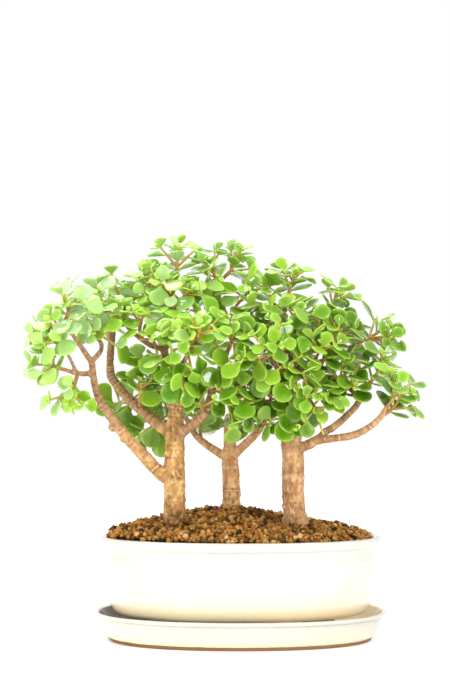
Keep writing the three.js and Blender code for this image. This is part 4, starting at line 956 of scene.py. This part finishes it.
def bark_at(point, row, tree):
    """How far the bark stands out at a point near a row of the axis, and its paint."""
    spread, lumpy, foot_shade, limb_shade = TREES[tree]
    radius, way, number = row[3], row[4], int(row[5])
    where = Vector(point)
    scar, groove = ring_scars(where, radius, way, number)
    flow = Vector((point[0] * 0.35, point[1] * 0.35, point[2] * 0.13))  # ridges run up and down
    ridges = noise.noise(flow * 2.2) * 0.6 + noise.noise(where * 0.5) * 0.5
    crumbs = noise.noise(where * 1.1)
    thick = min(1, radius / THICK_LIMB)
    out = thick * (lumpy * noise.noise(where * 0.16) + 0.8 * ridges + 0.45 * crumbs)
    out += (0.12 + 0.2 * thick) * scar - 0.2 * groove
    above = point[2] - soil_height(point[0], point[1])
    flare = foot = 0
    if point[2] > BURIED:
        flare = clipped(1 - above / FLARE_HEIGHT)
        foot = max(0, 1 - above / FOOT_HEIGHT) * max(0, 0.5 + 1.6 * noise.noise(where * 0.2))
    out += flare ** 2 * (spread + 0.6 * noise.noise(Vector((point[0], point[1], 0)) * 0.22))
    crevice = max(0, -1.7 * ridges * thick - 0.2) + 0.65 * groove * (1 - 0.3 * thick)
    crevice = crevice + 0.3 * flare + foot_shade * foot
    # Thin high limbs are browner: young bark, and painted shade under the crown.
    young = clipped((YOUNG_RADIUS - radius) / YOUNG_BLEND) * clipped((point[2] - YOUNG_Z) / YOUNG_Z_BLEND)
    fresh = max(math.exp(-(math.dist(point, spot[:3]) / spot[3]) ** 2) for spot in FRESH_SPOTS)
    return out, (min(1, scar), young * limb_shade, min(0.9, crevice), fresh * min(1, 0.7 + crumbs))


def vertex_vectors(mesh, kind):
    """The place or the normal of each vertex."""
    vectors = np.empty(len(mesh.vertices) * 3)
    mesh.vertices.foreach_get(kind, vectors)
    return vectors.reshape(-1, 3)


def add_bark(skin, axis, tree):
    """Rounds the skin, then raises ring scars and rough bark on it, and paints them."""
    edges = np.empty(len(skin.edges) * 2, int)
    skin.edges.foreach_get("vertices", edges)
    points = smooth_points(vertex_vectors(skin, "co") / MM, edges.reshape(-1, 2), SMOOTH_ROUNDS)
    rows = kdtree.KDTree(len(axis))
    for i, row in enumerate(axis):
        rows.insert(row[:3], i)
    rows.balance()
    raised, paint = np.zeros(len(points)), np.zeros((len(points), 4))
    for i, point in enumerate(points):
        near = [axis[k] for _, k, _ in rows.find_n(point, NEAREST_ROWS)]
        row = min(near, key=lambda r: math.dist(r[:3], point) - r[3])
        raised[i], paint[i] = bark_at(point, row, tree)
    points += vertex_vectors(skin, "normal") * raised[:, None]
    skin.vertices.foreach_set("co", (points * MM).ravel())
    set_paint(skin, paint)


# ---- Growth of the shoots ----
# A leaf is a dictionary of its base, its direction, the normal of its face, the side across it, its
# length, its width and its centre. The second number in a call of chance is a key that only this draw has.


def limb_at(points, t):
    """The centre and the radius of a limb at a share t of its points."""
    row, _ = on_line(np.array(points, float), t)
    return row[:3], row[3]


def out_of(stem, angle):
    """The unit vector square to a stem, at an angle round it."""
    e1 = unit(np.cross(vec(0, 0, 1), stem)) if abs(stem[2]) < 0.9 else vec(1, 0, 0)
    e2 = unit(np.cross(stem, e1))
    return e1 * math.cos(angle) + e2 * math.sin(angle)


# How far the face of a leaf turns out of the crown, its own way, up, and to the front at the crown's ends.
OUTWARD, SWAY, UPWARD, END_TURN, END_START = 1.1, 1.1, 0.45, 1.3, 0.5
CROWN_LIFT = 0.75  # how much the way out of the crown is raised
LENGTH_LOW, LENGTH_VARIES = 0.88, 0.24


def leaf_on(base, stem, angle, size, lift, seed, index):
    """One leaf of an opposite pair, which turns its face up and away from the middle of the crown."""
    out = out_of(stem, angle)
    direction = unit(out + stem * lift)
    light = unit((base - CROWN) / CROWN_SPREAD + vec(0, 0, CROWN_LIFT))
    sway = vec(*(chance(seed, index + k) - 0.5 for k in (600, 700, 800))) * SWAY
    end = clipped((abs(base[0] - CROWN[0]) / CROWN_SPREAD[0] - END_START) / (1 - END_START))
    normal = unit(stem - out * lift) + OUTWARD * light + sway + vec(0, -END_TURN * end, UPWARD)
    normal = unit(normal - direction * np.dot(normal, direction))
    leaf = {"base": base, "direction": direction, "normal": normal, "side": np.cross(direction, normal)}
    return sized(leaf, LEAF_LENGTH * size * (LENGTH_LOW + LENGTH_VARIES * chance(seed, index + 500)))


def sized(leaf, length):
    """A leaf with another length, and the width and the centre that go with it."""
    centre = leaf["base"] + leaf["direction"] * length * LEAF_MIDDLE
    return {**leaf, "length": length, "width": length * LEAF_WIDTH / LEAF_LENGTH, "centre": centre}


def open_spots(steps=24):
    """Points with a radius along the stretches of limb that are seen from the front."""
    spots = []
    for name, start, end in OPEN_LIMBS:
        for t in np.linspace(start, end, steps):
            centre, radius = limb_at(LIMBS[name], t)
            spots.append((*centre, radius))
    return np.array(spots)


def from_front(points):
    """Where points lie across the camera's view."""
    return (points[..., [0, 2]] - VIEW[[0, 2]]) * (VIEW[1] / (VIEW[1] - points[..., 1]))[..., None]


OPEN_SPOTS = open_spots()
RIM_POINTS = 8
SEEN_RIM, SEEN_BEHIND, SEEN_GAP = 0.42, 2, 0.5  # share of a leaf that hides a limb, and how near it then is


def rim_of(leaf, along, across):
    """Points round a leaf's centre, at shares of its length and of its width."""
    turn = round_turn(RIM_POINTS)
    rim = np.outer(np.cos(turn), leaf["direction"]) * leaf["length"] * along
    return leaf["centre"] + (rim + np.outer(np.sin(turn), leaf["side"]) * leaf["width"] * across)


def hides_limb(leaf):
    """Whether a leaf stands in front of a stretch of limb that is to be seen."""
    mine = from_front(np.vstack([rim_of(leaf, SEEN_RIM, SEEN_RIM), leaf["centre"]]))
    behind = OPEN_SPOTS[OPEN_SPOTS[:, 1] > leaf["centre"][1] - SEEN_BEHIND]
    away = np.linalg.norm(from_front(behind[:, :3])[:, None] - mine[None], axis=2)
    return bool(np.any(away < behind[:, 3:] + SEEN_GAP))


MOST_LEAVES, FAR_AWAY = 2000, 1e4
BALL_STEP, OWN_STEM = 3, 3  # balls this near a leaf's base are its own stem
WOOD_ALONG, WOOD_ACROSS, WOOD_GAP = 0.47, 0.49, 0.7  # shares of a leaf that clear the wood
LEAF_ALONG, LEAF_ACROSS, LEAF_DISC, LEAF_GAP = 0.45, 0.47, 0.46, 0.75  # shares that clear other leaves
FILLED_SIZES, LARGEST_LEAF = (1.4, 1.3, 1.2, 1.1), 20.5
OUTER_EDGE, OUTER_SIZE = 0.84, 0.9  # leaves that point out of the crown past this share of it stay small


def inside_frame(leaf):
    """Whether a leaf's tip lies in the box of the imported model."""
    tip = leaf["base"] + leaf["direction"] * leaf["length"]
    return all(low < at * MM < high for at, low, high in zip(tip, *cad_box))


class Room:
    """What the leaves have to stay clear of: wood and stems as balls, and the leaves placed so far."""

    def __init__(self, lines):
        balls = []
        for line, radii in lines:
            for i in range(1, len(line)):
                count = max(1, math.ceil(np.linalg.norm(line[i] - line[i - 1]) / BALL_STEP))
                for share in np.arange(1, count + 1) / count:
                    centre = line[i - 1] + (line[i] - line[i - 1]) * share
                    balls.append((*centre, radii[i - 1] + (radii[i] - radii[i - 1]) * share))
        self.balls = np.array(balls)
        self.leaves = []
        self.table = np.zeros((MOST_LEAVES, 14))  # centre, direction, side, normal, length and width

    def fits(self, leaf):
        """Whether a leaf hides no open limb and meets neither wood nor leaf."""
        gap = LEAF_THICKNESS * LEAF_GAP
        return not (hides_limb(leaf) or self.hits_ball(leaf) or self.clashes(leaf, gap))

    def hits_ball(self, leaf):
        """Whether a leaf meets wood or a stem that isn't its own."""
        centres, radii = self.balls[:, :3], self.balls[:, 3]
        offset = centres - leaf["centre"]
        near = np.einsum("ij,ij->i", offset, offset) <= (leaf["length"] * LEAF_MIDDLE + radii) ** 2
        offset, centres, radii = offset[near], centres[near], radii[near]
        other = np.linalg.norm(centres - leaf["base"], axis=1) >= radii + OWN_STEM
        x = offset @ leaf["direction"] / (leaf["length"] * WOOD_ALONG + radii)
        y = offset @ leaf["side"] / (leaf["width"] * WOOD_ACROSS + radii)
        flat = np.abs(offset @ leaf["normal"]) < radii + LEAF_THICKNESS * WOOD_GAP
        return bool(np.any(other & flat & (x * x + y * y < 1)))

    def clashes(self, leaf, gap):
        """Whether a spoke of the leaf meets another leaf's disc, or the other way round."""
        count = len(self.leaves)
        centres, lengths = self.table[:count, :3], self.table[:count, 12]
        near = np.linalg.norm(centres - leaf["centre"], axis=1) <= (leaf["length"] + lengths) / 2 + gap
        others = self.table[:count][near]
        if not len(others):
            return False
        centres, directions, sides, normals = (others[:, i:i + 3] for i in (0, 3, 6, 9))
        lengths, widths = others[:, 12], others[:, 13]
        mine = np.broadcast_to(rim_of(leaf, LEAF_ALONG, LEAF_ACROSS), (len(others), RIM_POINTS, 3))
        turn = round_turn(RIM_POINTS)[None, :, None]
        theirs = centres[:, None] + np.cos(turn) * (directions * lengths[:, None] * LEAF_ALONG)[:, None]
        theirs = theirs + np.sin(turn) * (sides * widths[:, None] * LEAF_ACROSS)[:, None]
        middle = np.broadcast_to(leaf["centre"], centres.shape)
        face = np.broadcast_to(leaf["normal"], centres.shape)
        return (
            spokes_hit(middle, mine, centres, normals, lengths, gap)
            or spokes_hit(centres, theirs, middle, face, np.full(len(others), leaf["length"]), gap)
        )

    def place(self, leaf):
        self.leaves.append(leaf)
        self.note(len(self.leaves) - 1)

    def note(self, k):
        """Writes a leaf's numbers into its row of the table."""
        leaf = self.leaves[k]
        axes = (*leaf["centre"], *leaf["direction"], *leaf["side"], *leaf["normal"])
        self.table[k] = (*axes, leaf["length"], leaf["width"])

    def fill(self):
        """Lets each leaf, from the outermost in, grow as large as it has room for."""
        outness = [np.linalg.norm((leaf["centre"] - CROWN) / CROWN_SPREAD) for leaf in self.leaves]
        for k in np.argsort(outness)[::-1]:
            leaf = self.leaves[k]
            if outness[k] > OUTER_EDGE and np.dot(leaf["centre"] - CROWN, leaf["direction"]) > 0:
                leaf.update(sized(leaf, leaf["length"] * OUTER_SIZE))
                self.note(k)
                continue
            self.table[k, :3] = FAR_AWAY
            for share in FILLED_SIZES:
                larger = sized(leaf, min(LARGEST_LEAF, leaf["length"] * share))
                if inside_frame(larger) and self.fits(larger):
                    leaf.update(larger)
                    break
            self.note(k)


def spokes_hit(hubs, rims, centres, normals, lengths, gap):
    """Whether any spoke from a hub to its rims comes within the gap of the disc at its centre."""
    start = np.einsum("ij,ij->i", hubs - centres, normals)[:, None]
    end = np.einsum("ijk,ik->ij", rims - centres[:, None], normals)
    product = start * end
    far = (product > 0) & (np.minimum(np.abs(start), np.abs(end)) > gap)
    with np.errstate(divide="ignore", invalid="ignore"):
        crossing = start / (start - end)
    share = np.where(product < 0, crossing, np.where(np.abs(start) < np.abs(end), 0.0, 1.0))[:, :, None]
    spots = hubs[:, None] * (1 - share) + rims * share
    close = np.linalg.norm(spots - centres[:, None], axis=2) < lengths[:, None] * LEAF_DISC
    return bool(np.any(close & ~far))


# Where a leaf finds no room, it is turned round its stem and raised along it by these, and is made smaller.
TRIES, SHRINKS = [(0, 0), (0.45, 0.1), (-0.45, 0.1), (0.8, 0.5), (-0.8, 0.5), (0.2, 1.1)], 0.05
LIFT_LOW, LIFT_VARIES = 0.3, 0.5
YOUTHS = [(0.75, 0.8), (0.8, 0.4), (math.inf, 0.1)]  # leaves below each size are at most this young


def grow_shoots():
    """The stems and leaves of every shoot."""
    shoots = [{"stems": grow_stems(shoot, seed), "leaves": []} for seed, shoot in enumerate(SHOOTS)]
    lines = [(np.array(points, float)[:, :3], [p[3] for p in points]) for points in LIMBS.values()]
    for shoot in shoots:
        for stem in shoot["stems"]:
            lines.append((stem["line"], np.linspace(stem["from"], stem["to"], len(stem["line"]))))
    room = Room(lines)
    for seed, shoot in enumerate(shoots):
        for stem in shoot["stems"]:
            for point, heading, angle, size, index in stem["nodes"]:
                for half in (0, 1):
                    grow_leaf(room, shoot, point, heading, angle + half * math.pi, size, seed, index + half)
    room.fill()
    return shoots


def grow_leaf(room, shoot, point, heading, angle, size, seed, key):
    """Places a leaf, at the first try that has room for it."""
    for attempt, (swing, more) in enumerate(TRIES):
        lift = LIFT_LOW + LIFT_VARIES * chance(seed, key) + more
        leaf = leaf_on(point, heading, angle + swing, size * (1 - SHRINKS * attempt), lift, seed, key)
        if room.fits(leaf):
            leaf["youth"] = next(youth for limit, youth in YOUTHS if size < limit) * chance(seed, key + 7)
            room.place(leaf)
            shoot["leaves"].append(leaf)
            return


FORK_PLACE, FORK_BARE, FORK_SEED = 0.3, 0.35, 100  # where a fork leaves its stem, its bare share, its chance
MOST_BARE, BARE_LENGTH = 0.5, 5  # a stem is bare for this length out of its limb


def grow_stems(shoot, seed):
    """The main stem of one shoot, its fork if it has one, and their side shoots."""
    limb, place, outermost, *fork_reach = shoot
    centre, radius = limb_at(LIMBS[limb], place)
    bare = lambda length: min(MOST_BARE, max(BARE_SHARE, (radius + BARE_LENGTH) / length))
    stems = leafy_stems(centre, vec(*outermost), bare, seed)
    if fork_reach:
        start, _ = on_line(stems[0]["line"], FORK_PLACE)
        stems += leafy_stems(start, vec(*fork_reach[0]), lambda _: FORK_BARE, seed + FORK_SEED)
    return stems


SAG, BOW = 0.35, 0.24  # how far a stem bends down, and how far it bends, as a share of its length
TIP_SIZES, PAIR_TURN = (0.72, 0.92, 1), 0.5  # of the leaves from the tip on, and how unevenly pairs turn


def leafy_stems(root, outermost, bare_share, seed):
    """A leafy stem from its root towards a point, with its side shoots."""
    reach = np.linalg.norm(outermost - root)
    length = max(SHORTEST_STEM, reach - LEAF_REACH)
    tip = root + (outermost - root) * length / reach
    middle = (root + tip) / 2 + vec(chance(seed, 1) - 0.5, chance(seed, 2) - 0.5, -SAG) * BOW * length
    line = np.array([curve(root, middle, tip, t) for t in np.linspace(0, 1, STEM_STEPS + 1)])
    bare = bare_share(length)
    count = max(2, math.floor((1 - bare) * length / INTERNODE + 0.5))
    main = {"line": line, "from": STEM_BASE, "to": STEM_TIP, "nodes": []}
    stems = [main]
    for j in range(count, -1, -1):
        point, heading = on_line(line, bare + (1 - bare - 1 / length) * j / count)
        angle = seed + j * math.pi / 2 + PAIR_TURN * chance(seed, 10 + j)
        main["nodes"].append((point, heading, angle, TIP_SIZES[min(2, count - j)], 20 + j * 40))
        if j < count:
            share = (count - j) / count
            stems.append(side_stem(point, heading, angle, share, seed, 22 + j * 40))
            stems.append(side_stem(point, heading, angle + math.pi, share, seed, 32 + j * 40))
    return stems


SIDE_NODES = ((0.94, 0.78), (0.58, 0.97))  # places along a side shoot, and sizes of the leaves there
SIDE_LOW, SIDE_FORWARD, SIDE_UP, SIDE_SWING, SIDE_LEAF_SWING, SIDE_TAPER = 0.45, 0.9, 0.2, 0.2, 0.8, 0.8


def side_stem(point, heading, angle, share, seed, index):
    """A short side shoot in the angle of a leaf. The share is how far down its shoot it grows."""
    direction = unit(out_of(heading, angle + SIDE_SWING) + heading * SIDE_FORWARD + vec(0, 0, SIDE_UP))
    length = (SIDE_LOW + (1 - SIDE_LOW) * share) * (SIDE_LENGTH + SIDE_EXTRA * chance(seed, index + 3))
    start = point + heading * SIDE_START
    line = np.array([start, start + direction * length])
    nodes = []
    for k, (t, size) in enumerate(SIDE_NODES):
        spot, along = on_line(line, t)
        nodes.append((spot, along, angle + SIDE_LEAF_SWING + k * math.pi / 2, size, index + 4 + 2 * k))
    return {"line": line, "from": SIDE_RADIUS, "to": SIDE_RADIUS * SIDE_TAPER, "nodes": nodes}


# ---- Shoots: their meshes ----

LEAF_ROWS, LEAF_SIDES, STEM_SIDES = 11, 14, 8
LIT_WAY = vec(-0.0048, 0, 0.0070)  # painted light: leaves are paler this way out of the crown, per millimetre
TONE_OWN, TONE_LIT, TONE_INSIDE = 0.55, 0.6, 0.3  # shares of a leaf's own tone, of painted light and of painted shade
LEAF_CUP, LEAF_DROOP, LEAF_TWIST = 3.6, 2.6, 0.14  # how much these differ from leaf to leaf
RIM_REACH = 4.5  # how far the light rim fades into a leaf


def leaf_shape(leaf, number):
    """A thick round-ended blade, with its paint: rim, tone, youth and upper side."""
    length, width, young = leaf["length"], leaf["width"], leaf["youth"]
    even = np.arange(1, LEAF_ROWS) / LEAF_ROWS
    t = 0.35 * even + 0.65 * (0.5 - 0.5 * np.cos(math.pi * even))
    half = 1.02 * width / 2 * np.sin(math.pi * t ** 1.5) ** (1.25 - 0.7 * t)
    thick = LEAF_THICKNESS / 2 * (0.5 + 0.4 * np.sin(math.pi * t)) * (1 - 0.25 * young)
    turn = round_turn(LEAF_SIDES)
    across = np.outer(half, np.cos(turn))
    up = np.outer(thick, np.sign(np.sin(turn)) * np.abs(np.sin(turn)) ** 0.75)
    along = np.repeat(t[:, None] * length, LEAF_SIDES, axis=1)
    cup = LEAF_CUP * chance(number, 3) - 1.2 + 0.8 * young
    droop = (0.5 - chance(number, 4) + 0.25) * LEAF_DROOP
    twist = (chance(number, 5) - 0.5) * LEAF_TWIST
    bend = cup * (across / (width / 2)) ** 2 * np.sin(math.pi * t)[:, None] - droop * t[:, None] ** 2
    up = up + bend + twist * across * t[:, None]
    flat = np.stack([along, across, up], axis=2).reshape(-1, 3)
    flat = np.vstack([flat, [(0, 0, 0), (length, 0, -droop)]])
    points = leaf["base"] + flat @ np.array([leaf["direction"], leaf["side"], leaf["normal"]])
    to_edge = np.minimum(half[:, None] - np.abs(across), (1 - t[:, None]) * length)
    rim = np.append(np.clip(1 - to_edge / RIM_REACH, 0, 1).ravel() ** 2, (0, 1))
    upper = np.append(np.tile(np.sin(turn) > -0.01, LEAF_ROWS - 1), (1, 1))
    # Painted light: leaves up and to the left of the crown are paler. Painted shade: leaves deep in it are
    # darker.
    light = clipped(np.dot(leaf["centre"] - CROWN, LIT_WAY))
    inside = max(0, 1 - np.linalg.norm((leaf["centre"] - CROWN) / CROWN_SPREAD))
    tone = clipped(TONE_OWN * chance(number, 6) + TONE_LIT * light - TONE_INSIDE * inside)
    whole = np.ones(len(rim))
    return points, np.column_stack([rim, whole * tone, whole * (young * (0.7 + 0.3 * tone)), upper])


def leaf_faces():
    """Faces of a blade whose side axis points to the left of its direction seen from above."""
    rows, sides = LEAF_ROWS - 1, LEAF_SIDES
    faces = [face[::-1] for face in ring_faces(rows, sides)]
    base, tip, last = rows * sides, rows * sides + 1, (rows - 1) * sides
    faces += [(base, k, (k + 1) % sides) for k in range(sides)]
    faces += [(tip, last + (k + 1) % sides, last + k) for k in range(sides)]
    return faces


BUDDING = 0.25  # share of the side shoots that end in a bud
BUD_SIZE, SIDE_BUD_SIZE, BUD_AHEAD, BUD_LIFT, BUD_YOUTH = 0.42, 0.3, 0.6, 1.5, 0.75


def add_buds(shoot, seed):
    """A small upright pair of leaves at the tip of each main stem and of some side shoots."""
    for k, stem in enumerate(shoot["stems"]):
        is_main = stem["from"] == STEM_BASE
        if not is_main and chance(seed, 880 + k) > BUDDING:
            continue
        point, heading, angle, *_ = stem["nodes"][0]
        base, size = point + heading * BUD_AHEAD, BUD_SIZE if is_main else SIDE_BUD_SIZE
        for half in (0, 1):
            turn = angle + math.pi * (0.5 + half)
            leaf = leaf_on(base, heading, turn, size, BUD_LIFT, seed, 900 + 10 * k + half)
            shoot["leaves"].append({**leaf, "youth": BUD_YOUTH})


STEM_PIECE, SWELLING, SWELLING_LENGTH = 1.6, 0.28, 1.1  # length of a mesh row; round each pair of leaves
SIDE_GREEN = 0.35  # how green a side shoot begins


def stem_shape(stem, number):
    """A stem with a swelling at each pair of leaves, greener towards its tip."""
    line, (start, end) = stem["line"], (stem["from"], stem["to"])
    steps = max(8, int(np.sum(np.linalg.norm(np.diff(line, axis=0), axis=1)) / STEM_PIECE))
    fine = np.array([on_line(line, t)[0] for t in np.linspace(0, 1, steps)])
    radii = np.linspace(start, end, steps)
    for point, *_ in stem["nodes"]:
        radii = radii + SWELLING * np.exp(-(np.linalg.norm(fine - point, axis=1) / SWELLING_LENGTH) ** 2)
    vertices, faces = tube(fine, radii, STEM_SIDES)
    low = 0.0 if start == STEM_BASE else SIDE_GREEN
    green = np.append(np.repeat(np.linspace(low, 1, steps), STEM_SIDES), (low, 1))
    tone = np.full(len(green), chance(number, 8))
    return vertices, faces, np.column_stack([green, tone, tone, np.ones(len(green))])


def make_shoots(leaf_stuff, stem_stuff):
    """Two pieces for each shoot: its leaves, which stand for its node, and its stems."""
    faces = leaf_faces()
    for seed, shoot in enumerate(grow_shoots()):
        add_buds(shoot, seed)
        leaves, stems = Build(), Build()
        for number, leaf in enumerate(shoot["leaves"]):
            points, paint = leaf_shape(leaf, 1000 * seed + number)
            leaves.add(points, faces, paint)
        for number, stem in enumerate(shoot["stems"]):
            stems.add(*stem_shape(stem, 1000 * seed + number))
        name = f"{seed + 1:02d}"
        add_piece("leaves_" + name, leaves.mesh("leaves_" + name), leaf_stuff, "leaf", "shoot_" + name)
        add_piece("stems_" + name, stems.mesh("stems_" + name), stem_stuff, "leaf")


# ---- Studio ----

CAMERA_AIM, CAMERA_LENS, SENSOR_WIDTH = (-12, 0, 235.4), 101.8, 36
CLIP, FLOOR_REACH, FLOOR_LEVEL = (0.05, 50), 12, -1e-4  # metres
LIGHTS = [  # name, place, aim, side of its square, watts, colour
    ("key", (800, -900, 800), (0, 0, 130), 320, 9.5, (1.0, 0.99, 0.96)),
    ("fill", (-850, -950, 300), (0, 0, 100), 500, 4.5, (1.0, 0.99, 0.96)),
    ("low", (-60, -1250, 40), (0, 0, 30), 450, 4.5, (1.0, 0.985, 0.95)),
    ("top", (-350, 150, 1100), (0, 0, 150), 600, 13, (1.0, 1.0, 1.0)),
]


def look_at(thing, place, aim):
    """Puts a camera or a light at a place, turned to what it aims at."""
    thing.location = Vector(place) * MM
    thing.rotation_euler = (Vector(aim) - Vector(place)).to_track_quat("-Z", "Y").to_euler()


def make_studio():
    """The camera, the lights, the white surroundings and the floor of the photograph."""
    scene = bpy.context.scene
    camera = add_object("camera", bpy.data.cameras.new("camera"))
    camera.data.lens, camera.data.sensor_width = CAMERA_LENS, SENSOR_WIDTH
    camera.data.clip_start, camera.data.clip_end = CLIP
    look_at(camera, VIEW, CAMERA_AIM)
    scene.camera = camera
    for name, place, aim, side, watts, colour in LIGHTS:
        lamp = bpy.data.lights.new(name, "AREA")
        lamp.shape, lamp.size, lamp.energy, lamp.color = "SQUARE", side * MM, watts, colour
        look_at(add_object(name, lamp), place, aim)
    world = bpy.data.worlds.new("studio")
    world.use_nodes = True
    background = world.node_tree.nodes["Background"].inputs
    background["Color"].default_value, background["Strength"].default_value = (1, 1, 1, 1), 1.0
    scene.world = world
    scene.view_settings.view_transform = "Standard"
    floor = bpy.data.meshes.new("floor")
    signs = ((-1, -1), (1, -1), (1, 1), (-1, 1))
    corners = [(sx * FLOOR_REACH, sy * FLOOR_REACH, FLOOR_LEVEL) for sx, sy in signs]
    floor.from_pydata(corners, [], [(0, 1, 2, 3)])
    floor.materials.append(floor_material())
    stage = add_object("floor", floor)


# ---- The object ----

make_studio()
make_tray(glaze_material("tray glaze", shine=0.1, ior=1.3))
make_pot(glaze_material("ivory glaze", shine=0.6, ior=1.5))
drain_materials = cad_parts["drain_mesh"].data.materials
drain_materials.clear()
drain_materials.append(mesh_material())
# The bed is a darker copy of the grains' material: painted shade between the grains.
make_soil_bed(soil_material("soil bed", shade=0.6))
grains = soil_material("clay grains")
make_grains("soil_grains", grains, seed=11, pitch=GRAIN_PITCH, lift=-0.4, share=1.0)
make_grains("soil_grains_top", grains, seed=12, pitch=GRAIN_PITCH * 1.25, lift=1.7, share=0.55)
for tree_name, tones in BARKS.items():
    make_tree(tree_name, bark_material(tree_name + " bark", *tones))
make_shoots(leaf_material(), stem_material())
